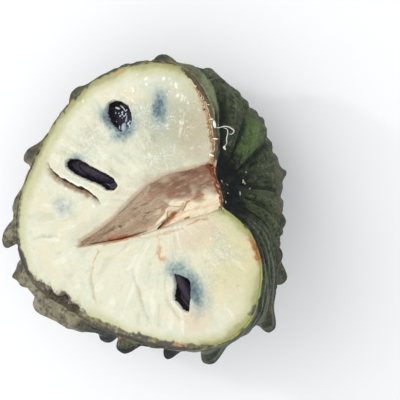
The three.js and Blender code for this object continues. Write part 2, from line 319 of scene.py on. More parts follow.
def placeTubercles():
    placed = []
    for row in range(tubercle["rows"]):
        turn = tubercle["firstColumn"] + (tubercle["columnStep"] / 2 if row % 2 == 0 else 0)
        while turn < 180:
            column, turn = turn, turn + tubercle["columnStep"]
            count = len(placed) + 1
            fromStem = tubercle["firstRow"] + tubercle["rowStep"] * row
            fromStem += 3 * (scatter(count) - 0.5) - tubercle["rowDrop"] * column / 180
            if fromStem < tubercle["nearestToStem"] or fromStem > tubercle["farthest"]:
                continue
            leant = tubercle["columnLean"] * row * column / 180
            seat = seatAt(fromStem, column + leant + 4 * (scatter(count + 0.5) - 0.5))
            gaps = [np.linalg.norm(other["base"] - seat["base"]) for other in placed]
            if gaps and min(gaps) < tubercle["spacing"]:
                continue
            near, far = tubercle["fullSizeFrom"]
            fullFrom = near + (far - near) * column / 180
            grown = float(smooth(fromStem, tubercle["nearestToStem"], fullFrom))
            flattened = tubercle["bulgeFlattens"] * belly(fromStem, column) / fruit["bellySwell"]
            size = (0.85 + 0.3 * scatter(count + 0.25)) * (1 - flattened)
            size *= tubercle["lowest"] + (1 - tubercle["lowest"]) * grown
            if column == tubercle["firstColumn"]:
                size = tubercle["cut"][(row - 1) // 2]
            placed.append(dict(seat, size=size))
    strays = [dict(seatAt(fromStem, turn), size=size) for fromStem, turn, size in tubercle["strays"]]
    return placed + strays


tubercles = placeTubercles()
print("tubercles placed:", len(tubercles))


skinLook = {
    "around": 580,  # points round the cut edge
    "rows": 140,  # rows from the cut edge to the underside
    "archAt": 4.6,  # the worn edge of each scale bends round the foot of its knob
    "archCurve": 0.14,
    "archWidth": 0.5,
    "archHalf": 6.4,
    "archHeight": 0.3,
    "grooveBehind": 1.2,  # the groove runs along the arch, on its far side from the stem
    "grooveWidth": 0.65,
    "grooveDepth": 0.45,
    "streakLength": 7,
    "streakHalf": 2.9,
    "pebble": 0.11,
    "lump": 0.34,
    "wrinkle": 0.16,
    "foldHeight": 0.55,
    "folds": 43,
    "scarEdge": 9.5,
}


def riseAt(along, side):
    # how far up a tubercle is, from 0 at its foot to 1 at its tip, and how far in its rounded knob
    reach = np.where(along > 0, tubercle["apexwardReach"], tubercle["stemwardReach"])
    across = np.hypot(along / reach, side / tubercle["sidewaysReach"])
    swell = np.clip(1 - across * across, 0, 1) ** 2
    reach = np.where(along > 0, tubercle["knobApexward"], tubercle["knobStemward"])
    knob = np.exp(-np.hypot(along / reach, side / tubercle["knobSideways"]) ** tubercle["knobPower"])
    return tubercle["swellShare"] * swell + (1 - tubercle["swellShare"]) * knob, knob


def raiseTubercles(point):
    moved = point.copy()
    masks = {name: np.zeros(len(point)) for name in ("tip", "arch", "streak")}
    nearest = np.full((len(point), 2), 99.0)
    for one in tubercles:
        away, size = point - one["base"], one["size"]
        along, side = away @ one["apexward"], away @ one["sideways"]
        close = np.linalg.norm(away, axis=1) < 2 * tubercle["stemwardReach"]
        height, knob = [part * close for part in riseAt(along, side)]
        up = size * (tubercle["height"] * height - tubercle["noseDroop"] * knob * along)
        moved += one["normal"] * up[:, None]
        moved += one["apexward"] * (tubercle["lean"] * size * height)[:, None]
        moved -= one["sideways"] * (tubercle["pinch"] * side * np.sqrt(knob) * min(size, 1))[:, None]
        bend = along - skinLook["archAt"] + skinLook["archCurve"] * side * side
        within = close * fade(np.abs(side), skinLook["archHalf"] - 2.5, skinLook["archHalf"])
        within = within * min(1, 0.4 + size)
        arch = within * bell(bend / skinLook["archWidth"])
        groove = within * bell((bend - skinLook["grooveBehind"]) / skinLook["grooveWidth"])
        worn = skinLook["archHeight"] * arch - skinLook["grooveDepth"] * groove
        moved += one["normal"] * worn[:, None]
        streak = within * bell(side / skinLook["streakHalf"]) * smooth(-bend, 0.2, 1.6)
        streak = streak * fade(-along, 0, skinLook["streakLength"]) * min(1, 0.5 + size)
        masks["tip"] = np.maximum(masks["tip"], knob * min(size, 1))
        masks["arch"] = np.maximum(masks["arch"], arch)
        # the streak also takes the groove beyond each arch, painted as shade
        masks["streak"] = np.maximum(masks["streak"], np.maximum(streak, 0.75 * groove))
        nearest = np.column_stack([nearest, np.hypot(along / 1.25 + 2.5, side)])
        nearest = np.sort(nearest, axis=1)[:, :2]
    # painted shade in the grooves between neighbouring scales
    masks["groove"] = bell((nearest[:, 1] - nearest[:, 0]) / 1.1)
    return moved, masks


# degrees between which a look comes in and then goes, from the stem, or with Turn round from the
# larger side; with At, the middle and spread of a look
zones = {
    "foldStart": (9, 16),
    "foldEnd": (38, 62),
    "foldLine": (9, 14),
    "troughEnd": (22, 44),
    "ridge": (14, 22, 36, 60),
    "shoulderEnd": (28, 46),
    "shoulderTurn": (60, 150),
    "cavity": (10, 24),
    "cavityTurn": (70, 20),
    "cavityNarrower": 5,
    "bright": (13, 20, 27, 38),
    "brightAt": (50, 13),
    "band": (14, 20, 44, 60),
    "bandTurn": (4, 13),
    "weathered": (80, 125),
    "bleached": (110, 144),
    "bleachedTurn": (120, 150),
    "bleachedLater": 20,
    "paleTurn": (40, 90),
    "slateAndShade": (70, 100, 120, 144),
    "slatyTurn": (130, 160),
    "deepTrough": (9, 14, 36, 54),
    "deepTroughAt": (16.5, 2.6),
    "stripe": (12, 18, 70, 100),
    "stripeTurn": (146, 156),
    "rustAt": (31, 3.5),
    "rustTurn": (70, 80, 112, 122),
    "duskyEnd": (60, 90),
    "duskyTurn": (105, 150),
}


def skinPlace(towards):
    # a place on the finished skin, and how strongly each look shows there
    fromStem, turn = skinAngles(towards)
    point = bodyPoint(towards)
    moved, masks = raiseTubercles(point)
    fold = np.cos(skinLook["folds"] * np.radians(turn) + 1.4 * noise(point, 9, 3))
    fold = fold * smooth(fromStem, *zones["foldStart"]) * fade(fromStem, *zones["foldEnd"])
    scarEdge = skinLook["scarEdge"]
    scar = fade(fromStem + 1.5 * noise(point, 3, 5), scarEdge - 2, scarEdge)
    calm = 1 - 0.6 * masks["tip"]
    relief = calm * skinLook["lump"] * noise(point, 3.4, 11)
    stretched = np.column_stack([fromStem * 0.9, np.radians(turn) * 60, 0 * turn])
    relief += skinLook["wrinkle"] * calm * noise(stretched * (0.35, 1, 1), 1.1, 16)
    relief += skinLook["pebble"] * (noise(point, 1.3, 12) + 0.6 * noise(point, 0.75, 13))
    relief += skinLook["foldHeight"] * fold - 0.22 * masks["groove"]
    relief += scar * (0.7 * noise(point, 1.6, 14) + 0.5 * noise(point, 3.1, 15))

    rib = ribWave(fromStem, turn + 4.5 * noise(point, 11, 6) + 1.6 * noise(point, 4, 7)) + 0.4 * fold
    # painted shade in the troughs between the ribs, deepest in one trough beside the larger side
    middle, spread = zones["deepTroughAt"]
    deepest = bell((turn - middle - 0.12 * (fromStem - 25)) / spread)  # it leans as it runs down
    deepest = deepest * between(fromStem, *zones["deepTrough"])
    trough = smooth(-rib, -0.1, 1.0) * fade(fromStem + 5 * noise(point, 6, 8), *zones["troughEnd"])
    masks["trough"] = np.clip(1.3 * trough + deepest, 0, 1)
    relief = relief - 0.7 * deepest
    # painted highlight along the rib crests
    masks["ridge"] = smooth(rib, 0.2, 0.9) * between(fromStem, *zones["ridge"])
    masks["foldLine"] = smooth(fold, 0.35, 0.95) * smooth(fromStem, *zones["foldLine"])
    masks["scar"] = scar
    # near the stem the rind is darker: partly its own dark green, partly painted shade on the side away
    # from the light, weaker towards the smaller side
    shoulder = fade(fromStem, *zones["shoulderEnd"])
    masks["shoulder"] = shoulder * (1 - 0.5 * smooth(turn, *zones["shoulderTurn"]))
    # painted shade: the hollow round the stem is drawn near black
    low, high = zones["cavity"]
    high = high - zones["cavityNarrower"] * smooth(turn, *zones["cavityTurn"])
    masks["cavity"] = fade(fromStem + 2.0 * noise(point, 4, 17), low, high)
    middle, spread = zones["brightAt"]
    bright = bell((turn - middle + 5 * noise(point, 7, 20)) / spread)
    masks["bright"] = bright * between(fromStem, *zones["bright"])
    masks["band"] = fade(turn, *zones["bandTurn"]) * between(fromStem, *zones["band"])
    masks["weathered"] = smooth(fromStem + 8 * noise(point, 14, 18), *zones["weathered"])
    ragged = fromStem + 7 * noise(point, 9, 74) + 3 * noise(point, 3, 75)
    low, high = zones["bleached"]
    bleached = smooth(ragged, low + zones["bleachedLater"] * smooth(turn, *zones["bleachedTurn"]), high)
    masks["bleached"] = bleached * (1 - 0.15 * smooth(turn, *zones["paleTurn"]))
    # painted shade on the knobs of the underside, over their own slate-blue tone
    slateAndShade = smooth(turn + 8 * noise(point, 8, 76), *zones["slatyTurn"])
    masks["slateAndShade"] = slateAndShade * between(ragged, *zones["slateAndShade"])
    masks["streak"] = masks["streak"] * (1 - 0.8 * masks["bleached"])
    masks["arch"] = masks["arch"] * (1 - 0.75 * masks["bleached"])
    lines = 0.5 + 0.5 * np.sin(turn * 1.9 + 1.6 * noise(point, 8, 19))
    masks["stripe"] = smooth(turn, *zones["stripeTurn"]) * between(fromStem, *zones["stripe"]) * lines
    # painted shade on the rind under the smaller lobe, away from the light
    masks["underLobeShade"] = smooth(turn, *zones["duskyTurn"]) * fade(fromStem, *zones["duskyEnd"])
    middle, spread = zones["rustAt"]
    ends = bell((fromStem - middle) / spread) * between(turn, *zones["rustTurn"])
    masks["tipRust"] = ends * smooth(rib, -0.1, 0.5)
    del masks["tip"]
    return moved + towards * relief[:, None], masks


cutEdge = {
    "skinLine": 0.35,  # thickness of the dark outer skin
    "border": 1.1,  # from the outside to where the flesh starts
    "thickMore": 2.2,
    "curlDrop": 1.2,
    "tornMore": 2.9,
    "tornDrop": 1.5,
    "fingerBulge": 0.32,
    "notchAt": 1.8,
    "notchHalf": 9.5,
    "notchDrop": 2.5,
}

rimPlaces = {  # (middle, spread) in degrees: 0 at the stem, 90 on the larger side, -90 on the smaller side
    "thick": (24, 13),  # here the torn skin shows a broad brown edge
    "curl": (30, 26),
    "torn": (-153, 25),
    "tornSkin": (-153, 24),
    "tornPulp": (-153, 26),
    "notYellow": (-168, 30),
    "dirt": (174, 30),
}

rimSides = {  # degrees where the rim's colours change; green and low count on the smaller side
    "stem": (8, 14, 38, 50),
    "top": (55, 80, 110, 140),
    "green": (6, 12, 50, 70),
    "low": (55, 80, 120, 145),
    "apex": (95, 125),
    "rust": (-11, -7, 34, 44),
}


def turnOf(place):
    return np.arctan2(place[:, 1], place[:, 0])


def angleFrom(turns, centre):
    return (np.degrees(turns) - centre + 180) % 360 - 180


def rimBell(turns, name):
    middle, spread = rimPlaces[name]
    return bell(angleFrom(turns, middle) / spread)


def rimDirections(turns, lift=0):
    level = np.cos(lift)
    return np.column_stack([level * np.cos(turns), level * np.sin(turns), np.sin(lift) + 0 * turns])


def rimSpot(turns):
    # the rim as a circle of about its own size, for the noise that varies it
    return 50 * rimDirections(turns)


def rimDrop(turns):
    around = rimSpot(turns)
    drop = 0.18 + 0.15 * noise(around, 7, 21)
    drop += cutEdge["curlDrop"] * rimBell(turns, "curl")
    notch = np.abs(angleFrom(turns, cutEdge["notchAt"])) + 1.2 * noise(around, 3, 27)
    drop += cutEdge["notchDrop"] * fade(notch, cutEdge["notchHalf"] - 3, cutEdge["notchHalf"] + 2)
    torn = rimBell(turns, "torn")
    return drop + torn * cutEdge["tornDrop"] * (0.8 + noise(around, 4, 22))


def rimWidth(turns):
    around = rimSpot(turns)
    width = cutEdge["border"] + 0.25 * noise(around, 5, 23)
    thick = rimBell(turns, "thick")
    torn = rimBell(turns, "torn")
    ragged = 0.3 * noise(around, 1.7, 24) + 0.12 * noise(around, 0.9, 25)
    width += cutEdge["thickMore"] * thick * (1 + 0.4 * ragged)
    width += torn * cutEdge["tornMore"] * (1.1 + 0.5 * noise(around, 5, 26) + 0.45 * ragged)
    return np.maximum(width, 0.5)


def rustEdge(turns):
    # where the rim has oxidised: beside the larger lobe, across the stem and on the smaller lobe
    around = rimSpot(turns)
    degrees = angleFrom(turns, 0) + 2 * noise(around, 4, 29)
    return np.maximum(between(degrees, *rimSides["rust"]), bell((degrees + 25) / 6.5))


def rimMasks(place, fromSkin):
    # colours of the cut rim, by how far in from the skin a place lies
    edgeTurn = turnOf(place)
    degrees = angleFrom(edgeTurn, 0)
    inward = fromSkin + 0.9 * noise(place, 6, 59) + 0.35 * noise(place, 2, 60)
    ragged = fromSkin + 0.45 * noise(place, 2.6, 63) + 0.35 * noise(place, 1.1, 64)
    rusty = rustEdge(edgeTurn)
    stemSide, topSide = [between(degrees, *rimSides[side]) for side in ("stem", "top")]
    greenSide, lowSide = [between(-degrees, *rimSides[side]) for side in ("green", "low")]
    apexSide = smooth(np.abs(degrees), *rimSides["apex"])
    tornSide = rimBell(edgeTurn, "notYellow")
    rustLine = ragged - 1.55 * (1 + 0.9 * stemSide) + 0.6 * stemSide
    rust = bell(rustLine / (0.75 - 0.2 * stemSide))
    rust = np.where(rustLine < 0, rust + (1 - rust) * (1 - stemSide), rust)
    dirty = rimBell(edgeTurn, "dirt") * fade(ragged + 1.1 * noise(place, 5, 68), 1.5, 3.2)
    dirty = np.maximum(dirty, lowSide * fade(ragged + 1.0 * noise(place, 4, 69), 1.3, 2.8))
    yellow = fade(inward - 1.6 * apexSide, 1.8, 8.5) * (1 - 0.6 * rusty)
    olive = fade(inward - 0.3 * lowSide, 1.0, 4.8) * (1 - 0.85 * rusty)
    greyEdge = inward - 2.6 * lowSide - 0.3 * apexSide + 0.7 * greenSide + 0.6 * topSide
    return {
        "rimYellow": yellow * (1 - 0.55 * tornSide),
        "rimOlive": olive * (1 - 0.6 * tornSide),
        "rimGrey": fade(greyEdge, 0.5, 2.1) * (1 - rusty),
        "rimGreen": fade(ragged, 0.5, 2.8) * greenSide,
        "slate": np.maximum(strokes(place, slateSpots, 0.9) * smooth(fromSkin, 0.1, 0.7), dirty),
        "rimBrown": stemSide * fade(ragged, 1.5, 2.2),
        "rimTan": rusty * smooth(rustLine, -0.5, 0.1) * fade(rustLine, 0.2, 2.4),
        "rimRust": rusty * rust,
        "rimLine": fade(ragged + 0.5 * greenSide, 0.3, 1.0),
    }


def bodyRing(turns, depth):
    ring = bodyPoint(rimDirections(turns), False)
    ring[:, 2] = 0
    along = np.roll(ring, -2, axis=0) - np.roll(ring, 2, axis=0)
    inward = unit(np.column_stack([-along[:, 1], along[:, 0], 0 * turns]))
    return ring + inward * np.reshape(depth, (-1, 1))


def skinRim(turns):
    # the lift at which the finished skin passes through the cut
    lift = np.zeros(len(turns))
    drop = rimDrop(turns)
    for attempt in range(12):
        point = skinPlace(rimDirections(turns, lift))[0]
        lift -= 0.8 * (point[:, 2] + drop) / np.linalg.norm(point, axis=1)
    return lift


turns = np.radians(np.arange(skinLook["around"]) * 360 / skinLook["around"])
rimLift = skinRim(turns)
outline = bodyRing(turns, 0)
fleshEdge = bodyRing(turns, rimWidth(turns))
fleshEdge[:, 2] = -rimDrop(turns)
print("cut edge traced")


seeds = {  # centres and turns as in the solids; the mouth is the opening that lays the seed bare
    "upper": {
        "at": (14.8, 38.4, -5.2),
        "turn": 112,
        "dip": 22,
        "roll": 0,
        "mouth": [
            (12.1, 43.8), (13.2, 44.6), (15.9, 44.4), (18.6, 42.9), (20.5, 40.6), (21.1, 38.2),
            (20.6, 35.5), (19, 33.3), (15.9, 32.9), (13.6, 33.9), (12.4, 36.4), (11.3, 39), (11.3, 41.5),
        ],
        "lip": 0.35,
        "open": 0.25,
        "floor": 3.6,
    },
    "middle": {
        "at": (-2.7, 23.1, -4.9),
        "turn": -41,
        "dip": 0,
        "roll": 80,
        "mouth": [
            (-12, 30.8), (-10.7, 31.2), (-7.4, 30), (-4.4, 27.4), (-2.6, 25.2), (2.7, 20.5), (5.5, 17.5),
            (6.3, 15.2), (5, 14.6), (2.1, 15.6), (0.2, 18.1), (-5, 22.3), (-9.4, 25.9), (-12.1, 29.6),
        ],
        "lip": 0.7,
        "open": 0.65,
        "floor": 2.2,
    },
    "lower": {
        "at": (20.6, -30.2, -4.8),
        "turn": -83,
        "dip": 14,
        "roll": 70,
        "mouth": [
            (19.8, -23.2), (21.6, -24.2), (24.4, -26.3), (25, -27.9), (23.1, -32.6), (20.8, -36.7),
            (19.4, -35.9), (17, -31.6), (17.3, -29.8), (19, -27.3),
        ],
        "lip": 0.45,
        "open": 0.35,
        "floor": 2.6,
    },
    "veiledUpper": {"at": (33.2, 35.6, -3.5), "turn": 74, "dip": 5, "roll": 20},
    "veiledLeft": {"at": (-18.9, 16.6, -3.5), "turn": 140, "dip": 5, "roll": 20},
}

core = {
    # (distance towards the stem, smaller-side edge, larger-side edge, depth of its belly)
    "sections": [
        (-17, -0.2, 1.2, 2), (-8, -2, 2.6, 3.5), (0, -3.6, 4.6, 5), (9, -4.6, 8, 6.5),
        (18, -5.2, 11, 8), (28, -5.5, 11.5, 9), (38, -6.5, 10, 10), (53, -6.5, 7.5, 10),
    ],
    "rimDepth": 1.6,
    "valley": 2.6,
    "upperSlope": 6.5,  # the larger side rolls softly down to the core
    "lowerSlope": 0.9,  # the smaller side stands up from it in a lip
    "lowerLip": 0.55,
}

crease = {
    "line": [
        (-17, 0.2), (-9, -1.2), (0, -2.9), (8, -3.6), (13, -4.0), (18, -3.4), (22, -2), (27, -0.6), (31, 3),
    ],
    "depth": 0.9,
    "half": 0.8,
    "step": 0.8,  # the larger side of it stands higher
    "reach": (2.5, 2.0),
}

crack = {
    "line": [
        (-21.6, 35.4), (-20.6, 33.6), (-19.3, 30.4), (-17.2, 27.6), (-14.4, 24.8), (-11.2, 22),
        (-7.6, 19.2), (-4.8, 16.6), (-3.4, 14), (-2.7, 10.4),
    ],
    "lift": 0.8,
    "sink": 1.2,
    "slit": 1.4,  # the crack itself is this much deeper
    "liftReach": 3.0,
    "sinkReach": 3.6,
}

folds = [  # shallow folds between the pulp's segments
    [(4.4, 25.1), (6.2, 22.1), (7.3, 18.6), (10.5, 16.7)],
    [(27.3, 28.8), (27.7, 24.8), (28.0, 21.6)],
    [(-11.5, -6.7), (-14.1, -10.6), (-16.2, -13.8), (-17, -20), (-16, -28)],
    [(4, -10), (3, -20), (3.5, -32), (5, -42)],
    [(14.5, -26), (13.5, -32), (16, -38), (21, -42)],
    [(-22, 4), (-31, 8), (-40, 9)],
]


def signedDistance(place, outlinePoints):
    # millimetres to a closed outline, negative inside it
    corners = np.array(outlinePoints, float)
    distance = np.full(len(place), 1e9)
    inside = np.zeros(len(place), bool)
    for a, b in zip(corners, np.roll(corners, -1, axis=0)):
        edge = b - a
        t = np.clip((place - a) @ edge / (edge @ edge), 0, 1)
        distance = np.minimum(distance, np.linalg.norm(place - a - t[:, None] * edge, axis=1))
        if a[1] != b[1]:
            crosses = (a[1] > place[:, 1]) != (b[1] > place[:, 1])
            meets = a[0] + (place[:, 1] - a[1]) * edge[0] / edge[1]
            inside ^= crosses & (place[:, 0] < meets)
    return np.where(inside, -distance, distance)


def lineDistance(place, linePoints):
    # millimetres to an open line, positive on its left, and how far along it, from 0 to 1
    corners = np.array(linePoints, float)
    best = np.full(len(place), 1e9)
    side = np.ones(len(place))
    along = np.zeros(len(place))
    lengths = np.linalg.norm(np.diff(corners, axis=0), axis=1)
    before = np.concatenate([[0], np.cumsum(lengths)])
    for i, (a, b) in enumerate(zip(corners, corners[1:])):
        edge = b - a
        t = np.clip((place - a) @ edge / (edge @ edge), 0, 1)
        away = place - a - t[:, None] * edge
        distance = np.linalg.norm(away, axis=1)
        closer = distance < best
        best = np.where(closer, distance, best)
        turned = np.where(edge[0] * away[:, 1] - edge[1] * away[:, 0] >= 0, 1, -1)
        side = np.where(closer, turned, side)
        along = np.where(closer, (before[i] + t * lengths[i]) / before[-1], along)
    return best * side, along


coreBlotches = [  # purple-brown, where the core has oxidised most: (line, half width, strength)
    ([(34, 10), (38, 9.6)], 2.4, 0.9),
    ([(14, 6), (19, 7.6)], 1.4, 0.45),
    ([(29, 4.8), (33, 3.6)], 1.5, 0.55),
    ([(28, 9.2), (31, 7.4)], 1.6, 0.7),
    ([(38, 6.6), (41, 4.6)], 2.0, 0.6),
    ([(20, 10), (27, 11.4)], 1.4, 0.5),
    ([(40, 10.2), (43.4, 9.4)], 1.2, 0.8),
    ([(22, 4.2), (27, 2.6)], 1.8, 0.4),
]

coreRedSpots = [
    ([(27.3, 9.2), (27.9, 8.2)], 0.8, 0.9),
    ([(26.1, 5.5), (27.2, 5.2)], 1.1, 1.0),
    ([(30.7, 7.3), (32.4, 7.0)], 0.6, 0.6),
    ([(36.6, 6.2), (39.4, 6.6)], 0.8, 0.7),
    ([(18.8, 0.9), (19.3, 0.8)], 0.6, 0.9),
    ([(3, -1.2), (6.5, -1.6)], 0.5, 0.6),
    ([(12.6, -2.6), (15.6, -1.8)], 0.7, 0.9),
    ([(36.5, -2.6), (38.4, -3.4)], 0.5, 0.5),
    ([(24, -3.4), (30.5, -3.9)], 0.3, 0.6),
    ([(27.5, 1.6), (35, -0.2)], 0.35, 0.5),
    ([(33, -5.2), (41, -5.9)], 0.35, 0.6),
    ([(26, 3.6), (33, 3.0)], 0.4, 0.5),
    ([(37, 1.8), (42, 1.2)], 0.3, 0.5),
]

# the lines are oxidised red-brown, and darker as painted shadow where the lip and the lifted strip overhang
# them
coreSlots = [  # red-brown lines where the core has come away from the lip and under its flaps
    ([(-6, -2.1), (-1.7, -2.9), (1.1, -3.2), (4.4, -4.2), (8.0, -4.6), (11, -4.9)], 1.0, 1.0),
    ([(10, -5.2), (14, -5.0), (18, -4.6), (21, -3.6), (23.6, -1.8)], 1.1, 0.65),
    ([(27.8, -1.8), (29.6, 0.0), (31.4, 0.2)], 0.6, 0.6),
    ([(31.4, 0.2), (35.5, 1.0), (37.2, 0.6)], 0.5, 0.45),
    ([(29.0, -5.4), (30.6, -5.2)], 0.5, 0.8),
]


stainedEdge = [  # how far the core's brown reaches into the pulp
    (-18, 0.6), (-7.6, 2.8), (2, 4.6), (11.8, 7.6), (14.6, 10.6), (16.2, 14.4), (19.5, 15.6), (25.9, 14.5),
    (32.7, 13), (38.4, 11.8), (44.2, 11), (44, -6), (27, -7), (9, -5.4), (0, -4.2), (-12, -1.6),
]


def coreEdges(x):
    sections = np.array(core["sections"], float)
    return [np.interp(x, sections[:, 0], sections[:, column]) for column in (1, 2, 3)]


def coreOutline():
    sections = core["sections"]
    return [(s[0], s[1]) for s in sections] + [(s[0], s[2]) for s in reversed(sections)]


def coreBelly(place):
    low, high, depth = coreEdges(place[:, 0])
    across = (place[:, 1] - (low + high) / 2) / ((high - low) / 2)
    return -core["rimDepth"] - depth * np.sqrt(np.clip(1 - across * across, 0, 1))


def coreTop(place):
    low, high, depth = coreEdges(place[:, 0])
    across = (place[:, 1] - (low + high) / 2) / ((high - low) / 2)
    bowl = np.clip(1 - across * across, 0, 1) * np.clip((high - low) / 9, 0, 1)
    top = -core["rimDepth"] - core["valley"] * bowl
    crossed, along = lineDistance(place, crease["line"])
    tapered = between(along, 0, 0.15, 0.85, 1)
    top -= crease["depth"] * tapered * bell(crossed / crease["half"])
    away, (upper, lower) = np.abs(crossed), crease["reach"]
    top += crease["step"] * tapered * np.where(crossed > 0, np.exp(-away / upper), -np.exp(-away / lower))
    # its fibres lie about ten degrees off its length
    turned = flat(place) @ np.array([[0.985, -0.17, 0], [0.17, 0.985, 0], [0, 0, 1]])
    drawn = turned * (1 / 4, 1, 1)
    left = fade(place[:, 0], 10, 24)
    top += (0.06 + 0.12 * left) * noise(drawn, 0.9, 31) + 0.06 * noise(drawn, 0.5, 32)
    top += 0.5 * noise(place, 4.5, 33) + 0.2 * noise(place, 1.8, 34)
    top -= 0.5 * left * smooth(noise(turned * (1 / 2.2, 1, 1), 0.8, 39), 0.45, 0.8)
    end = smooth(place[:, 0], 37, 44)  # level with the cut edge where it comes out at the stem
    rim = -rimDrop(turnOf(place)) + 0.1
    return top * (1 - end) + (rim + 0.3 * noise(place, 1.2, 35)) * end


def nearestOf(place, ring):
    return np.concatenate(
        [
            np.linalg.norm(part[:, None, :] - ring[None, :, :2], axis=2).min(axis=1)
            for part in np.array_split(place, max(1, len(place) // 2000))
        ]
    )


veils = [  # where a seed shows bluish through thin pulp: (place, half axes, turn, strength)
    ((33.6, 35.2), (6.4, 3.6), 66, 0.95),
    ((31.5, 30), (3.6, 3.0), 80, 0.4),
    ((-18.9, 16.6), (6.5, 4.2), 140, 0.38),
    ((16.4, 33.2), (6.6, 4.2), 15, 0.85),
    ((11, 39.6), (5.4, 2.6), 100, 0.95),
    ((25.6, -30), (8.0, 4.4), 98, 1.0),
    ((21.4, -21.8), (6.0, 4.2), -20, 0.7),
    ((-6.8, 30.6), (3.6, 2.0), -35, 0.6),
    ((24.5, -38), (3.4, 2.6), 60, 0.4),
    ((-24, -12), (9, 6), 20, 0.1),
]

slateSpots = [  # dark slate blotches of stone cells just under the skin
    ([(30.5, 54.8), (26.5, 54.6)], 0.8, 0.9),
    ([(23.5, 55.8), (20.5, 56.2)], 0.6, 0.55),
    ([(8.0, 56.2), (4.8, 55.0)], 0.9, 1.0),
    ([(1.6, 54.2), (-1.2, 52.6)], 1.0, 0.9),
    ([(-5.6, 51.2), (-7.4, 50.0)], 0.8, 1.0),
    ([(-20.4, 43.4), (-22.6, 41.8)], 0.7, 0.5),
    ([(-29.0, 37.2), (-31.2, 35.2)], 1.0, 0.9),
    ([(-32.4, 34.6), (-33.6, 32.6)], 0.9, 0.8),
    ([(-39.2, 29.2), (-41.0, 25.6)], 0.8, 0.9),
    ([(-42.0, 23.0), (-43.6, 18.0)], 1.0, 0.9),
    ([(-44.8, 13.4), (-45.6, 10.0)], 1.3, 0.9),
    ([(-46.6, 5.0), (-46.4, -1.0), (-45.4, -5.0)], 1.4, 0.95),
    ([(-44.6, -9.0), (-42.6, -14.0)], 1.3, 0.9),
    ([(-4.4, -38.2), (1.2, -40.4)], 0.9, 1.0),
    ([(4.6, -42.8), (8.2, -44.8)], 0.8, 0.7),
    ([(10.6, -45.6), (15.6, -48.8)], 0.8, 0.9),
    ([(18.4, -50.6), (22.4, -52.4)], 0.9, 0.8),
    ([(24.8, -53.6), (30.6, -54.8)], 0.7, 0.7),
    ([(37.6, -51.0), (40.8, -49.0)], 0.9, 0.8),
    ([(44.6, -45.2), (46.8, -43.2)], 0.9, 0.9),
]

rustStrokes = [  # oxidised, orange-brown places
    ([(-8.6, -4.6), (-11.7, -6.7), (-14.1, -10.6), (-16.2, -13.8)], 0.45, 0.5),
    ([(-5.8, -3.2), (-3.2, -3.2), (-0.4, -3.9), (5, -5.3)], 0.55, 0.8),
    ([(30.1, -8.8), (32.5, -8.2), (34.8, -8.0), (38.6, -8.6)], 0.5, 0.75),
    ([(17.2, -7.8), (19.8, -7.8), (23.8, -8.4), (28, -8.6)], 0.6, 0.5),
    ([(10, -6.2), (14, -6.9), (17.2, -7.8), (18.4, -9.6)], 0.6, 0.4),
    ([(16.6, -12.4), (15.6, -14.0), (15.6, -15.6), (17.6, -16.8)], 1.2, 0.7),
    ([(43, -34.6), (43.4, -34.7)], 0.7, 0.5),
    ([(11.5, -46.2), (14.4, -47)], 1.0, 0.6),
    ([(19, 54.3), (22.9, 53.7)], 0.7, 0.75),
    ([(47.4, 10.6), (46.2, 9.2), (45.2, 8.4)], 1.2, 1.0),
]


def strokes(place, drawn, wander=0.5):
    shifted = place + wander * np.column_stack([noise(place, 1.8, 41), noise(place, 1.8, 42)])
    total = np.zeros(len(place))
    for line, half, strength in drawn:
        away = lineDistance(shifted, line)[0]
        total = np.maximum(total, strength * bell(away / half))
    return total


def veilShade(place):
    total = np.zeros(len(place))
    place = place + 0.8 * np.column_stack([noise(place, 2.6, 43), noise(place, 2.2, 44)])
    for at, half, turn, strength in veils:
        angle = math.radians(turn)
        away = place - at
        along = away @ (math.cos(angle), math.sin(angle)) / half[0]
        across = away @ (-math.sin(angle), math.cos(angle)) / half[1]
        total = np.maximum(total, strength * bell(np.hypot(along, across)))
    return total


face = {
    "rings": 118,
    "crown": 0.9,
    "crownReach": 4.5,
    "swell": 0.45,
    "ripple": 0.2,
    "grain": 0.11,
    "fineGrain": 0.06,
    "foldDepth": 0.5,
    "middle": (2, 6),  # the rings of the cut face close in on this place
    "fibresFrom": (26, 2),  # the pulp's fibres run out from here
}

patches = {  # soft round patches of the cut face: (middle, half size)
    "wetUpper": ((30, 30), (24, 22)),
    "wetLower": ((38, -22), (18, 20)),
    "wetLeft": ((-6, 36), (20, 13)),
    # painted shade: the next three patches make the face greyer, yellower and warmer towards the stem, away
    # from the light
    "greyerShade": ((36, 28), (17, 15)),
    "yellowShade": ((47, -26), (16, 24)),
    "warmerShade": ((44, 22), (9, 12)),
    "pinkUpper": ((33, -13), (14, 6)),
    "pinkLower": ((23, -41), (7, 6)),
}


def patch(place, name):
    middle, half = patches[name]
    return bell(np.hypot((place[:, 0] - middle[0]) / half[0], (place[:, 1] - middle[1]) / half[1]))


def wetGrain(place):
    # where the pulp's grains stand out: the larger lobe and the far end of the smaller one
    patchy = 0.8 + 0.35 * noise(place, 6, 67)
    wet = 0.2 + patch(place, "wetUpper") + 0.9 * patch(place, "wetLower") + 0.8 * patch(place, "wetLeft")
    return np.clip(wet * patchy, 0, 1)


def foldShape(place):
    # shallow folds, shaded more softly on one side
    sunk, shade = np.zeros(len(place)), np.zeros(len(place))
    for line in folds:
        away, along = lineDistance(place + 0.4 * noise(place, 3, 55)[:, None], line)
        tapered = np.sin(np.pi * np.clip(along, 0.04, 0.96))
        sunk += face["foldDepth"] * bell(away / 0.8) * tapered
        shade = np.maximum(shade, np.where(away > 0, bell(away / 0.4), bell(away / 1.6)) * tapered)
    return -sunk, {"foldShade": 0.6 * shade}


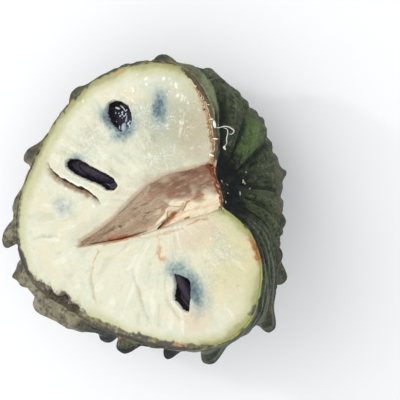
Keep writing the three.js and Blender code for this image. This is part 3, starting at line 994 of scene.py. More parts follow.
def crackShape(place):
    # one side of the crack stands in a lip, and the other is sunk
    split, along = lineDistance(place + 0.25 * noise(place, 1.6, 56)[:, None], crack["line"])
    raised, away = split > 0, np.abs(split)
    opened = np.sin(np.pi * np.clip(along, 0, 1)) ** 0.6
    lift = crack["lift"] * np.exp(-away / crack["liftReach"])
    sink = crack["sink"] * np.exp(-away / crack["sinkReach"]) + crack["slit"] * bell(split / 0.5)
    return opened * np.where(raised, lift, -sink), {
        "crackShade": opened * np.where(raised, bell(split / 0.25), fade(away, 0.9, 4.2)),
        # painted shadow line in the crack under the lip, and a painted highlight along the lip
        "crackShadow": opened * np.where(raised, 0, fade(away, 0.8, 1.5)),
        "lipHighlight": opened * np.where(raised, np.exp(-away / 1.2), 0),
    }


def coreValley(place):
    # the pulp rolls down to the core and is stained brown beside it
    ring = signedDistance(place, coreOutline())
    low, high, depth = coreEdges(place[:, 0])
    lowerSide = place[:, 1] < (low + high) / 2
    steepness = fade(place[:, 0], 16, 34)  # the lip on the smaller side softens towards the stem
    slope = np.where(lowerSide, core["lowerSlope"] + 2.6 * (1 - steepness), core["upperSlope"])
    lip = core["lowerLip"] * lowerSide * steepness * bell((ring - 1.4) / 1.2) * (place[:, 0] > -18)
    stain = np.where(lowerSide, np.exp(-np.clip(ring, 0, None) / 1.2), fade(ring, 0.1, 2.8))
    reach = signedDistance(place, stainedEdge) + 0.7 * noise(place, 3, 65) + 0.35 * noise(place, 1.2, 66)
    stain = np.maximum(stain, fade(reach, -4.6, 1.0))
    return lip - (core["rimDepth"] + 0.4) * fade(ring, 0, slope), {"stain": stain}


def openMouths(place, height):
    # over each bare seed the pulp stands in a thin lip and then drops to the floor of the hollow
    mouthEdge = np.full(len(place), 99.0)
    ragged = 0.14 * noise(place, 1.3, 57) + 0.06 * noise(place, 0.7, 58)
    for seed in seeds.values():
        if "mouth" in seed:
            away = signedDistance(place, seed["mouth"]) + ragged - seed["open"]
            height = height + seed["lip"] * bell((away - 0.9) / 0.9) * (away > 0)
            height = height - 0.3 * fade(away, -0.1, 0.4)
            height = np.where(away < 0, -seed["floor"] * smooth(-away, 0, 0.5) - 0.4, height)
            mouthEdge = np.minimum(mouthEdge, away)
    return height, mouthEdge


def faceShape(place):
    # height of the pulp's cut face, and how strongly each look shows there
    edge, edgeTurn = nearestOf(place, fleshEdge), turnOf(place)
    wet = wetGrain(place)
    masks = rimMasks(place, nearestOf(place, outline))
    height = -rimDrop(edgeTurn) * np.exp(-edge / 3.5)
    height += face["crown"] * (1 - np.exp(-edge / face["crownReach"]))
    height += face["swell"] * noise(place, 13, 51) * smooth(edge, 0, 6)
    height += face["ripple"] * noise(place, 4.2, 52) * smooth(edge, 0, 3)
    height += wet * (face["grain"] * noise(place, 1.5, 53) + face["fineGrain"] * noise(place, 0.8, 54))
    for shape in (foldShape, crackShape, coreValley):
        change, shades = shape(place)
        height += change
        masks.update(shades)
    height, mouthEdge = openMouths(place, height)
    underCore = signedDistance(place, coreOutline()) < 0
    height = np.where(underCore, np.minimum(height, coreBelly(place) - 0.3), height)

    outside = fade(-mouthEdge, -0.1, 0.1)
    fromMiddle = place - face["fibresFrom"]
    around = turnOf(fromMiddle)
    outwards = np.column_stack([around * 26, np.linalg.norm(fromMiddle, axis=1) / 6, 0 * around])
    strand = (noise(outwards, 1.5, 71) + 0.6 * noise(outwards, 0.8, 72)) * smooth(edge, 2, 8)
    torn = rimBell(edgeTurn, "tornPulp")
    # painted shade towards the stem end of the face
    masks.update({name: patch(place, name) for name in ("greyerShade", "yellowShade", "warmerShade")})
    masks.update({
        "veil": veilShade(place),
        "rust": strokes(place, rustStrokes),
        "stain": masks["stain"] * outside,
        "mouthEdge": bell(mouthEdge / 0.6),
        # painted shade on the walls of the seed hollows
        "pocketShade": np.clip(-mouthEdge, -1, 1),  # a distance, so the line stays crisp
        # the wet grains, where their glints are painted
        "wet": wet * outside,
        "wetRelief": (0.35 + 0.65 * wet) * outside,
        "pinkish": np.maximum(patch(place, "pinkUpper"), patch(place, "pinkLower")),
        "tornEdge": torn * fade(edge + 0.9 * noise(place, 1.8, 73), 0.3, 1.6),
        "tornSpeck": torn * fade(edge, 1.0, 5.0),
        "strand": smooth(strand, 0.1, 0.9),
        "strandGap": smooth(-strand, 0.1, 0.9),
    })
    return height, masks


straightDown = np.array([[0, 0, -1.0]])


def hiddenBowl(count, scale, under):
    # rings of the side that lies under the cut face, and the point at its bottom
    rings = []
    for part in np.linspace(0, 1, count + 2)[1:-1]:
        ring = bodyPoint(rimDirections(turns, -math.pi / 2 * part), False) * scale
        ring[:, 2] = np.minimum(ring[:, 2], fleshEdge[:, 2] - under)
        rings.append(ring)
    return rings, bodyPoint(straightDown, False) * scale


def makeSkin(material):
    around, rows = skinLook["around"], skinLook["rows"]
    rings, ringMasks = [], []

    def addRing(ring, masks, onCut):
        rings.append(ring)
        ringMasks.append(dict(masks, onCut=np.full(around, onCut)))

    # from the underside up to the cut edge
    for part in np.linspace(0, 1, rows + 1)[-2::-1] ** 1.08:
        point, masks = skinPlace(rimDirections(turns, rimLift + (-math.pi / 2 - rimLift) * part))
        point[:, 2] = np.minimum(point[:, 2], -rimDrop(turns))
        addRing(point, masks, 0.0)
    edge = rings[-1]
    # across the cut: cut scales stay domed like fingers, then the pale border up to the flesh
    border = bodyRing(turns, cutEdge["skinLine"])
    border[:, 2] = edge[:, 2]
    thick = np.clip(np.linalg.norm(border - edge, axis=1) - 0.8, 0, 6)
    for part in (0.2, 0.4, 0.6, 0.8, 1.0):
        ring = edge + (border - edge) * part
        ring[:, 2] += cutEdge["fingerBulge"] * thick * math.sin(math.pi * part) ** 0.7
        addRing(ring, masks, 0.3 * part)
    torn = rimBell(turns, "torn")
    for part in np.linspace(0, 1, 9)[1:]:
        ring = border + (fleshEdge - border) * part
        scales = 0.3 + 1.1 * noise(ring, 3.2, 91) + 0.7 * noise(ring, 1.4, 92)
        ring[:, 2] += torn * scales * math.sin(math.pi * part) ** 0.6
        addRing(ring, masks, 1.0)
    hidden, inner = hiddenBowl(count=14, scale=0.965, under=0.5)
    for ring in hidden:
        addRing(ring, masks, 1.0)
    bottom, bottomMasks = skinPlace(straightDown)
    bottomMasks["onCut"] = np.zeros(1)
    points = np.concatenate([*rings, bottom, inner])
    ringMasks += [bottomMasks] * 2
    masks = {name: np.concatenate([one[name] for one in ringMasks]) for name in bottomMasks}
    onCut = masks["onCut"]
    rim = rimMasks(points[:, :2], nearestOf(points[:, :2], outline))
    masks.update({name: values * onCut for name, values in rim.items()})
    masks["torn"] = onCut * rimBell(turnOf(points), "tornSkin")
    masks["tornLine"] = masks["torn"] * bell(nearestOf(points[:, :2], fleshEdge) / 1.1)
    piece = addPiece("skin", points, closedFaces(len(rings), around), material, masks)
    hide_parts("rind")


def makePulp(material):
    around = skinLook["around"]
    middle, edge = np.array(face["middle"], float), fleshEdge[:, :2]
    share = np.linspace(0, 1, face["rings"] + 1)[1:]
    place = np.concatenate([middle + (edge - middle) * part for part in share])
    height, masks = faceShape(place)
    height[-around:] = fleshEdge[:, 2] + 0.03
    middleHeight, middleMasks = faceShape(middle[None])
    hidden, lowest = hiddenBowl(count=20, scale=0.955, under=1)
    top, middleTop = np.column_stack([place, height]), [[*middle, middleHeight[0]]]
    points = np.concatenate([top, *hidden, middleTop, lowest])
    for name, values in masks.items():
        filler = np.full(len(hidden) * around, values[-around:].mean())
        masks[name] = np.concatenate([values, filler, middleMasks[name], filler[:1]])
    faces = closedFaces(face["rings"] + len(hidden), around, insideOut=True)
    piece = addPiece("pulp", points, faces, material, masks)
    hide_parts("flesh")


coreLook = {
    "tip": -17.4,
    "end": 45.1,  # just under the rind's cut edge at the stem
    "along": 220,
    "across": 56,
    "overlap": 0.5,
    "under": 14,
}


def makeCore(material):
    xs = np.linspace(coreLook["tip"], coreLook["end"], coreLook["along"])
    low, high, depth = coreEdges(xs)
    middle, half = (low + high) / 2, (high - low) / 2
    topShare = np.linspace(-1, 1, coreLook["across"])
    underTurn = np.linspace(0, math.pi, coreLook["under"] + 2)[1:-1]
    place = []
    for x, start, end in zip(xs, low - coreLook["overlap"], high + coreLook["overlap"]):
        across = (start + end) / 2 + (end - start) / 2 * topShare
        place.append(np.column_stack([np.full(len(topShare), x), across]))
    top = coreTop(np.concatenate(place)).reshape(len(xs), -1)
    top[:, [0, -1]] = np.minimum(top[:, [0, -1]], -core["rimDepth"] - 0.2)
    rings = []
    for i, x in enumerate(xs):
        across = middle[i] + half[i] * np.cos(underTurn)
        deep = top[i].min() - 0.4 - (depth[i] - 1) * np.sin(underTurn)
        rings.append(np.column_stack([place[i], top[i]]))
        rings.append(np.column_stack([np.full(len(across), x), across, deep]))
    around = coreLook["across"] + coreLook["under"]
    points = np.concatenate(rings)
    faces = ringFaces(len(xs), around)
    faces.append(list(range(around)))
    faces.append(list(range(len(points) - around, len(points)))[::-1])

    x, place = points[:, 0], points[:, :2]
    lowEdge, highEdge, depths = coreEdges(x)
    across = np.clip((points[:, 1] - lowEdge) / (highEdge - lowEdge), 0, 1)
    across = across + (0.22 * noise(points, 5, 37) + 0.08 * noise(points, 2, 38))
    left = fade(x, 10, 24)
    masks = {
        "upper": smooth(x, 8, 30) * smooth(across, 0.3, 0.78),
        "blotch": strokes(place, coreBlotches, 1.2),
        "redSpot": strokes(place, coreRedSpots, 1.2),
        "pale": (1 - left) * fade(across, 0.18, 0.62),
        "pit": left * smooth(noise(points * (0.3, 1, 0), 0.8, 39), 0.4, 0.75),
        "slotRustAndShade": strokes(place, coreSlots, 0.3),
        "edgeFade": smooth(across, 0.72, 1.0) * fade(x, 26, 36),
        "rust": strokes(place, rustStrokes),
        "endRust": smooth(x + 1.1 * noise(points, 2, 36) + 0.5 * noise(points, 0.9, 30), 43.2, 44.4),
    }
    piece = addPiece("core_wood", points, faces, material, masks)
    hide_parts("core")


seedLook = {
    "half": (10, 5.4, 2.9),
    "taper": 0.22,
    "around": 64,
    "rings": 48,
    "dimple": 0.12,
    "margin": 0.18,
    "marginHalf": 0.16,
}


def seedMatrix(seed):
    return laid(seed["at"], seed["turn"], seed["dip"], seed["roll"])


def makeSeed(name, node, seed, material, count):
    around, rings = seedLook["around"], seedLook["rings"]
    half = np.array(seedLook["half"])
    ball = ballPoints(rings, around)[:, [2, 0, 1]] * (-1, 1, 1)
    taper = 1 - seedLook["taper"] * ball[:, 0] ** 2 * np.sign(ball[:, 0])
    points = ball * half
    points[:, 1:] *= taper[:, None]
    # a thin margin runs round the flat seed, and its coat is faintly pitted
    margin = bell(ball[:, 2] / seedLook["marginHalf"]) * seedLook["margin"]
    pits = seedLook["dimple"] * noise(points + 40 * count, 1.4, 60 + count)
    pits += 0.05 * noise(points * (0.35, 1.6, 1.6) + 40 * count, 0.9, 70 + count)
    points += unit(ball * (1 / half)) * (margin + pits)[:, None]
    points = moveBy(seedMatrix(seed), points)
    piece = addPiece(name, points, closedFaces(rings, around), material)
    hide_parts(node)


def smoothLine(corners, steps):
    # Catmull-Rom through the corners
    corners = np.array(corners, float)
    padded = np.concatenate([[2 * corners[0] - corners[1]], corners, [2 * corners[-1] - corners[-2]]])
    points = []
    for a, b, c, d in zip(padded, padded[1:], padded[2:], padded[3:]):
        for t in np.arange(steps) / steps:
            bend = (2 * a - 5 * b + 4 * c - d) * t + (3 * b - a - 3 * c + d) * t * t
            points.append(b + 0.5 * t * ((c - a) + bend))
    return np.array([*points, corners[-1]])


def addStrands(name, strands, material, sides=6):
    # strands: (line, half thickness, shade); each is a tube that thins to both ends
    points, faces, shades = [], [], []
    for line, thickness, shade in strands:
        first = sum(len(part) for part in points)
        steps = len(line)
        along = unit(np.gradient(line, axis=0))
        side = unit(np.cross(along, (0.31, 0.17, 0.93)))  # a direction that no strand runs in
        upward = np.cross(side, along)
        t = np.linspace(0, 1, steps)
        radius = thickness * np.clip(np.sin(math.pi * (0.06 + 0.88 * t)), 0, 1) ** 0.6
        turn = np.arange(sides) * 2 * math.pi / sides
        ring = side[:, None] * np.cos(turn)[None, :, None] + upward[:, None] * np.sin(turn)[None, :, None]
        tube = line[:, None] + ring * radius[:, None, None]
        points.append(tube.reshape(-1, 3))
        faces += ringFaces(steps, sides, first)
        faces.append(tuple(range(first, first + sides))[::-1])
        faces.append(tuple(range(first + (steps - 1) * sides, first + steps * sides)))
        shades.append(np.full(steps * sides, shade))
    addPiece(name, np.concatenate(points), faces, material, {"shade": np.concatenate(shades)})


coreFibres = {
    "count": 36,
    "start": (-14, 40),
    "farthest": 46.5,
    "length": (2.5, 9),
    "thickness": (0.04, 0.1),
    "lift": 0.35,
    "steps": 26,
}

coreFlap = {  # a strip of the core lifted by the knife, and how high each end of it stands
    "root": [(5.6, -3.6), (9.6, -2.6), (13.4, -1.7), (17.0, -0.6), (19.6, 0.8), (21.2, 2.2)],
    "edge": [(7.4, -5.4), (11.0, -5.9), (15.4, -5.2), (18.6, -3.8), (20.4, -2.4), (23.2, -0.2)],
    "lift": (0.15, 1.3),
    "thickness": 0.22,
    "along": 90,
    "across": 16,
}


def makeCoreFlap(material):
    along, across = coreFlap["along"], coreFlap["across"]
    pick = np.linspace(0, 1, along)
    curves = []
    for name in ("root", "edge"):
        line = smoothLine(coreFlap[name], 20)
        reach = np.linspace(0, 1, len(line))
        curves.append(np.column_stack([np.interp(pick, reach, line[:, axis]) for axis in (0, 1)]))
    root, edge = curves
    ragged = 0.13 * noise(edge, 1.5, 81) + 0.09 * noise(edge, 0.7, 82)
    share = np.linspace(0, 1, across)
    reach = share[None] * (1 + ragged[:, None])
    place = root[:, None] + (edge - root)[:, None] * reach[..., None]
    place = place.reshape(-1, 2)
    low, high = coreFlap["lift"]
    stand = (low + (high - low) * np.sin(math.pi * pick) ** 0.7)[:, None] * share[None] ** 1.5
    base = coreTop(place).reshape(along, across)
    base = base[:, :1] * share[None] + base * (1 - share[None])
    top = np.maximum(base, coreTop(place).reshape(along, across)) + stand
    top = top + 0.1 * noise(place, 1.1, 83).reshape(along, across) + 0.1
    upper = np.column_stack([place, top.ravel()])
    lower = upper - (0, 0, coreFlap["thickness"])
    points = np.concatenate([upper, lower])
    order = np.arange(along * across).reshape(along, across)
    quads = np.stack([order[:-1, :-1], order[1:, :-1], order[1:, 1:], order[:-1, 1:]], -1).reshape(-1, 4)
    faces = flipped(quads.tolist()) + (quads + along * across).tolist()
    border = [*order[:, 0], *order[-1, 1:], *order[::-1, -1][1:], *order[0, ::-1][1:-1]]
    for a, b in zip(border, border[1:] + border[:1]):
        faces.append((a, b, b + along * across, a + along * across))
    edgeShare = np.tile(share, along)
    masks = {"shade": np.concatenate([fade(edgeShare, 0.25, 0.8)] * 2)}
    addPiece("core_flap", points, faces, material, masks)


def makeCoreFibres(material):
    draw = np.random.default_rng(5)
    strands, steps = [], coreFibres["steps"]
    for i in range(coreFibres["count"]):
        start = draw.uniform(*coreFibres["start"])
        end = min(start + draw.uniform(*coreFibres["length"]), coreFibres["farthest"])
        xs = np.linspace(start, end, steps)
        low, high, depth = coreEdges(xs)
        across = draw.uniform(0.08, 0.92) + 0.05 * np.sin(np.linspace(0, draw.uniform(2, 7), steps))
        across = across + draw.uniform(-0.12, 0.12) * np.linspace(0, 1, steps)
        place = np.column_stack([xs, low + (high - low) * np.clip(across, 0.03, 0.97)])
        thickness = draw.uniform(*coreFibres["thickness"])
        lift = coreFibres["lift"] * np.sin(np.linspace(0, math.pi, steps)) * draw.uniform(0, 1)
        line = np.column_stack([place, coreTop(place) + thickness * 0.4 + lift])
        strands.append((line, thickness, draw.uniform(0, 1)))
    addStrands("core_fibres", strands, material)


fringe = {  # torn fibres at the edge of the pulp
    "places": [(9, 37, 80), (-9, 9, 50)],  # from angle, to angle, count
    "longest": 1.3,
    "thickness": (0.1, 0.26),
    "lean": 0.8,
    "darkShare": 0.2,
}


def makeFringe(material):
    draw = np.random.default_rng(9)
    strands = []
    for start, end, count in fringe["places"]:
        for i in range(count):
            angle = math.radians(draw.uniform(start, end))
            index = int(round(angle / (2 * math.pi) * skinLook["around"])) % skinLook["around"]
            root = fleshEdge[index].copy()
            outward = unit(outline[index] - fleshEdge[index])
            along = unit(outline[(index + 3) % len(outline)] - outline[index - 3])
            root -= outward * draw.uniform(0.2, 1.0)
            root[2] += draw.uniform(-0.1, 0.35)
            length = draw.uniform(0.15, 1) ** 2 * fringe["longest"] + 0.3
            lean = draw.uniform(-fringe["lean"], fringe["lean"])
            bow = np.array([0, 0, draw.uniform(-0.2, 0.6)])
            tip = root + (outward + along * lean) * length + (0, 0, draw.uniform(-0.6, 0.4))
            line = smoothLine([root, (root + tip) / 2 + bow, tip], 5)
            dark = draw.random() < fringe["darkShare"]
            shade = draw.uniform(0, 0.2) if dark else draw.uniform(0.5, 1)
            strands.append((line, draw.uniform(*fringe["thickness"]), shade))
    addStrands("pulp_fringe", strands, material)


arils = {  # milky skin of the seed's wet sac, left over the bare seed: line, half thickness, shade
    "threads": [
        ([(15.7, 43.1), (16.7, 41.7), (17.2, 40.1)], 0.26, 0.5),
        ([(17.6, 38.4), (17.4, 37.2), (16.7, 35.9)], 0.3, 0.75),
        ([(13.4, 43.2), (14.4, 42.5), (15.1, 41.9)], 0.36, 0.1),
        ([(19.9, 40.6), (20.4, 38.6), (20.0, 36.4)], 0.22, 0.5),
        ([(13.6, 36.0), (13.2, 35.2), (13.5, 34.2)], 0.22, 0.4),
        ([(17.9, 34.6), (18.3, 33.8), (17.8, 33.0)], 0.3, 0.2),
    ],
    "tongue": [(15.6, 31.6), (15.6, 33.2), (15.8, 34.6), (16.4, 35.8)],
    "tongueThickness": 1.25,
}


def overSeed(place, seed):
    # height of the seed's upper surface above the cut face
    matrix = seedMatrix(seed)
    best = np.full(len(place), -12.0)
    for lift in np.linspace(-9, 1.5, 84):
        spot = np.column_stack([place, np.full(len(place), lift)]) - matrix[:3, 3]
        local = spot @ matrix[:3, :3] / seedLook["half"]
        best = np.where((local**2).sum(axis=1) < 1.04, lift, best)
    return best


def makeArils(material):
    strands = []
    for corners, thickness, shade in arils["threads"]:
        line = smoothLine(corners, 8)
        lift = np.maximum(overSeed(line, seeds["upper"]), -2.6) + 0.5 * thickness
        strands.append((np.column_stack([line, lift]), thickness, shade))
    line = smoothLine(arils["tongue"], 8)
    lift = np.linspace(-0.9, overSeed(line[-1:], seeds["upper"])[0] + 0.1, len(line))
    strands.append((np.column_stack([line, lift]), arils["tongueThickness"], 0.75))
    addStrands("seed_aril_threads", strands, material, 8)


# the drops are coloured near white, as painted glints on the seed
beads = {  # drops of clear juice on the upper seed: count, smallest and largest half width
    "count": 20,
    "rings": 6,
    "sides": 10,
    "half": (0.18, 0.6),
    "around": (15.9, 38.6),
    "reach": (4.2, 5.4),
}


def makeBeads(material):
    draw = np.random.default_rng(14)
    points, faces, shades = [], [], []
    ball = ballPoints(beads["rings"], beads["sides"])
    for i in range(beads["count"]):
        away = unit(draw.normal(size=2)) * draw.uniform(0, 1) ** 0.6 * beads["reach"]
        spot = np.array([beads["around"] + away])
        half = draw.uniform(*beads["half"]) * draw.uniform(0.5, 1)
        lift = max(overSeed(spot, seeds["upper"])[0], -3.2) + 0.2 * half
        stretch = draw.uniform(0.8, 2.2)
        bent = np.array([half * stretch, half, 0.6 * half]) * ball
        turned = bent @ np.array(Matrix.Rotation(draw.uniform(0, math.pi), 3, "Z"))
        faces += closedFaces(beads["rings"], beads["sides"], i * len(ball), insideOut=True)
        points.append(turned + (*spot[0], lift))
        shades.append(np.full(len(ball), draw.uniform(0, 0.7)))
    masks = {"shade": np.concatenate(shades)}
    addPiece("seed_juice_beads", np.concatenate(points), faces, material, masks)


crumbs = [  # corky bits in the hollow round the stem, and half their length
    ((49.0, 0.7, -11.8), 0.8), ((47.2, -3.0, -9.0), 0.7), ((45.6, -5.2, -2.4), 0.55),
    ((47.6, 1.2, -7.0), 0.5), ((48.6, -1.6, -14.0), 0.55), ((46.0, 2.6, -4.6), 0.45),
    ((46.4, -1.8, -6.2), 0.35), ((49.4, 3.8, -13.0), 0.4),
]


def makeCrumbs(material):
    draw = np.random.default_rng(21)
    strands = []
    for at, half in crumbs:
        towards = unit(np.array([at], float))
        root = skinPlace(towards)[0][0] + towards[0] * 0.1
        along = unit(np.cross(towards[0], draw.normal(size=3)))
        line = root + np.linspace(-1, 1, 6)[:, None] * along * half
        line = line + 0.25 * half * draw.normal(size=(6, 3))
        strands.append((line, 0.25 * half + 0.08, draw.uniform(0, 0.8)))
    addStrands("stem_hollow_crumbs", strands, material, 7)


curl = {  # white pulp fibres hanging over the rind beside the larger lobe: line, half thickness
    "threads": [
        ([(52.7, 22.4, 0.1), (52.6, 21.2, 0.35), (52.4, 19.8, 0.2)], 0.55),
        (
            [
                (52.4, 19.9, 0.2), (52.7, 19.9, -2.0), (53.1, 20.4, -5.0), (53.8, 20.0, -6.6),
                (54.3, 19.1, -7.9), (54.5, 18.3, -8.4), (54.0, 17.3, -7.3), (53.5, 17.4, -6.3),
            ],
            0.2,
        ),
        (
            [
                (52.9, 20.0, -4.6), (53.4, 19.2, -5.9), (53.2, 17.6, -5.7), (52.6, 15.9, -4.9),
                (52.4, 14.6, -4.7), (51.8, 13.4, -3.9),
            ],
            0.18,
        ),
        ([(51.9, 13.5, -3.6), (51.5, 13.0, -3.3), (51.6, 12.2, -3.8)], 0.42),
        ([(50.2, 16.8, 0.1), (51.2, 16.2, 0.1), (51.9, 15.9, -0.3)], 0.28),
        ([(46.8, 12.2, -0.2), (47.6, 11.6, 0.1), (48.4, 10.9, -0.3)], 0.42),
        ([(51.2, 23.4, 0.2), (52.0, 23.2, 0.1), (52.6, 23.1, -0.2)], 0.22),
        ([(52.1, 28.6, 0.0), (52.7, 28.4, -0.1)], 0.2),
    ],
}


def makeCurl(material):
    strands = []
    for line, thickness in curl["threads"]:
        strands.append((smoothLine(line, 7), thickness, 0.2))
    addStrands("pulp_white_fibre", strands, material, 8)


def layColours(material, place, base, layers):
    # each layer: (mask, colour, grain in mm, how far grain breaks its edge, starts, full, strength)
    colour = None
    for mask, code, size, broken, start, full, strength in layers:
        grain = addNode(material, "ShaderNodeTexNoise", {"Scale": 1 / size, "Detail": 3}, {"Vector": place})
        links = {0: grain.outputs["Fac"]}
        if mask:
            links[2] = addNode(material, "ShaderNodeAttribute", {"attribute_name": mask}).outputs["Fac"]
        edge = addNode(material, "ShaderNodeMath", {"operation": "MULTIPLY_ADD", 1: broken, 2: 0}, links)
        span = {"From Min": start + broken / 2, "From Max": full + broken / 2, "To Max": strength}
        span["interpolation_type"] = "SMOOTHSTEP"
        share = addNode(material, "ShaderNodeMapRange", span, {"Value": edge.outputs[0]})
        links = {0: share.outputs[0]}
        if colour:
            links[6] = colour
        colours = {"data_type": "RGBA", 6: hexColour(base), 7: hexColour(code)}
        colour = addNode(material, "ShaderNodeMix", colours, links).outputs[2]
    return colour


def makeMaterial(name, finish):
    # relief: (grain in mm, share) pairs; roughness drifts between two values over `drift` mm
    material = bpy.data.materials.new(name)
    material.use_nodes = True
    material.node_tree.nodes.clear()
    place = addNode(material, "ShaderNodeAttribute", {"attribute_name": "place"}).outputs["Vector"]
    if "stretch" in finish:
        drawn = addNode(material, "ShaderNodeMapping", {"Scale": finish["stretch"]}, {"Vector": place})
        place = drawn.outputs["Vector"]
    colour = layColours(material, place, finish["base"], finish["layers"])
    height = None
    for size, share in finish["relief"]:
        grain = addNode(material, "ShaderNodeTexNoise", {"Scale": 1 / size, "Detail": 2}, {"Vector": place})
        links = {0: grain.outputs["Fac"]}
        if height:
            links[2] = height
        layer = addNode(material, "ShaderNodeMath", {"operation": "MULTIPLY_ADD", 1: share}, links)
        height = layer.outputs[0]
    if "reliefMask" in finish:
        mask = addNode(material, "ShaderNodeAttribute", {"attribute_name": finish["reliefMask"]})
        links = {0: height, 1: mask.outputs["Fac"]}
        height = addNode(material, "ShaderNodeMath", {"operation": "MULTIPLY"}, links).outputs[0]
    bump = addNode(material, "ShaderNodeBump", {"Distance": finish["depth"] * mm}, {"Height": height})
    drift = addNode(material, "ShaderNodeTexNoise", {"Scale": 1 / finish["drift"]}, {"Vector": place})
    smoothest, roughest = finish["roughness"]
    span = {"From Min": 0.3, "From Max": 0.7, "To Min": smoothest, "To Max": roughest}
    roughness = addNode(material, "ShaderNodeMapRange", span, {"Value": drift.outputs["Fac"]})
    links = {"Base Color": colour, "Normal": bump.outputs["Normal"], "Roughness": roughness.outputs[0]}
    shader = addNode(material, "ShaderNodeBsdfPrincipled", finish["shader"], links)
    addNode(material, "ShaderNodeOutputMaterial", None, {"Surface": shader.outputs["BSDF"]})
    return material


rimLayers = [  # the cut rim, from the pulp outwards to the skin
    ("rimYellow", "#c5c496", 5, 0.4, 0.1, 0.95, 0.85),
    ("rimOlive", "#a4a06e", 3, 0.5, 0.15, 0.95, 0.92),
    ("rimGrey", "#5f5641", 1.8, 1.6, 0.45, 1.15, 0.92),
    ("rimGreen", "#a3a75c", 1.6, 1.2, 0.3, 1.0, 0.85),
    ("slate", "#4b4849", 1.8, 1.2, 0.2, 0.9, 0.85),
    ("rimBrown", "#5a4a38", 1.2, 0.6, 0.3, 0.7, 0.95),
    ("rimTan", "#c49b68", 1.4, 0.9, 0.3, 1.1, 0.8),
    ("rimRust", "#a35a26", 0.9, 1.2, 0.35, 1.1, 0.95),
    ("rimRust", "#5e2f18", 1.1, 2.0, 1.15, 1.6, 0.8),
    ("rimLine", "#453c2d", 2, 0.8, 0.3, 0.8, 0.9),
]

# rind of a custard apple as it grew: dull and faintly waxy, so it only glints softly along ridges; its
# colours also carry painted shade in the stem hollow, troughs and grooves and on the side away from the
# light, and a painted highlight on the rib crests
waxyRind = {
    "base": "#55543a",
    "layers": [
        (None, "#3a4a2a", 9, 1, -0.04, 0.08, 0.85),  # green patches
        (None, "#5d4e37", 5, 1, 0.02, 0.12, 0.7),  # brown patches
        (None, "#2b3626", 3, 1, 0.0, 0.12, 0.75),
        ("weathered", "#66614f", 6, 1.2, 0.3, 1.0, 0.8),
        # painted shade on the underside knobs, over their own slate-blue tone
        ("slateAndShade", "#18212c", 4, 1.0, 0.15, 0.8, 0.92),
        # near the stem: dark green rind, partly painted shade on the side away from the light
        ("shoulder", "#475336", 5, 0.8, 0.1, 0.6, 0.9),
        ("shoulder", "#4e4a34", 7, 1.8, 0.8, 1.3, 0.7),
        ("shoulder", "#27342b", 3, 1.6, 0.75, 1.2, 0.8),
        # painted highlight along the rib crests
        ("ridge", "#5f6b42", 2.2, 1.8, 0.7, 1.4, 0.85),
        # the rind's specks are about 0.3 mm across, too fine to show, so they are drawn 1 mm and more
        (None, "#1b211b", 1.4, 1, 0.0, 0.16, 0.75),
        (None, "#85875f", 1.0, 1, 0.06, 0.2, 0.6),
        ("bleached", "#a0987f", 4, 1.0, 0.15, 0.9, 0.9),
        ("bleached", "#5f5f45", 7, 1.6, 0.7, 1.15, 0.8),
        ("bleached", "#4a4135", 1.8, 1.8, 0.76, 1.2, 0.75),
        ("bleached", "#bdb6a6", 1.2, 1.8, 0.95, 1.6, 0.6),
        ("bright", "#56703a", 2.2, 1.2, 0.15, 1.0, 0.85),
        ("bright", "#84a05c", 0.9, 2.0, 0.85, 1.5, 0.75),
        ("band", "#858a66", 4, 0.6, 0.15, 0.6, 0.92),
        ("band", "#2f3a28", 1.2, 1.6, 0.95, 1.4, 0.7),
        # painted shade under the smaller lobe
        ("underLobeShade", "#2b312c", 3, 1.2, 0.5, 1.3, 0.7),
        ("stripe", "#7d8472", 1.2, 0.8, 0.4, 0.9, 0.55),
        # painted shade: grooves between the scales and troughs between the ribs; the streak is each knob's
        # dark streak, with painted shade in the groove beyond its arch
        ("groove", "#23281f", 2, 0.8, 0.3, 1.1, 0.45),
        ("trough", "#12170f", 2, 0.9, 0.25, 1.15, 0.9),
        ("streak", "#23282d", 2.2, 0.9, 0.1, 0.75, 0.85),
        ("arch", "#a07c52", 1.5, 0.8, 0.3, 0.85, 0.75),
        ("tipRust", "#6a4c38", 2, 0.9, 0.3, 1.1, 0.75),
        # painted shade: the hollow round the stem is drawn near black
        ("cavity", "#0a0c12", 3, 0.7, 0.3, 1.1, 0.97),
        ("foldLine", "#343b34", 0.9, 1.4, 0.9, 1.7, 0.75),  # folds catch light inside the hollow
        ("scar", "#4e3b2b", 1.2, 1.6, 0.9, 1.3, 0.8),
        ("scar", "#a5a396", 0.8, 2.4, 1.42, 1.55, 0.85),  # corky crumbs
        ("onCut", "#e6e5c9", 3, 0.3, 0.3, 0.9, 1.0),
        *rimLayers,
        ("torn", "#635847", 2.8, 0.8, 0.2, 0.7, 0.96),
        ("torn", "#4b4734", 2.4, 1.4, 0.6, 1.1, 0.8),
        ("torn", "#3c3430", 1.5, 1.6, 0.8, 1.3, 0.85),
        ("torn", "#8f897a", 1.0, 1.8, 1.1, 1.5, 0.6),
        ("tornLine", "#43363c", 1.3, 1.2, 0.35, 1.0, 0.9),
    ],
    "relief": [(2.2, 0.7), (0.8, 1.0), (0.4, 0.5)],
    "depth": 0.5,
    "drift": 4,
    "roughness": (0.45, 0.68),
    "shader": {"IOR": 1.45, "Specular IOR Level": 0.22},
}


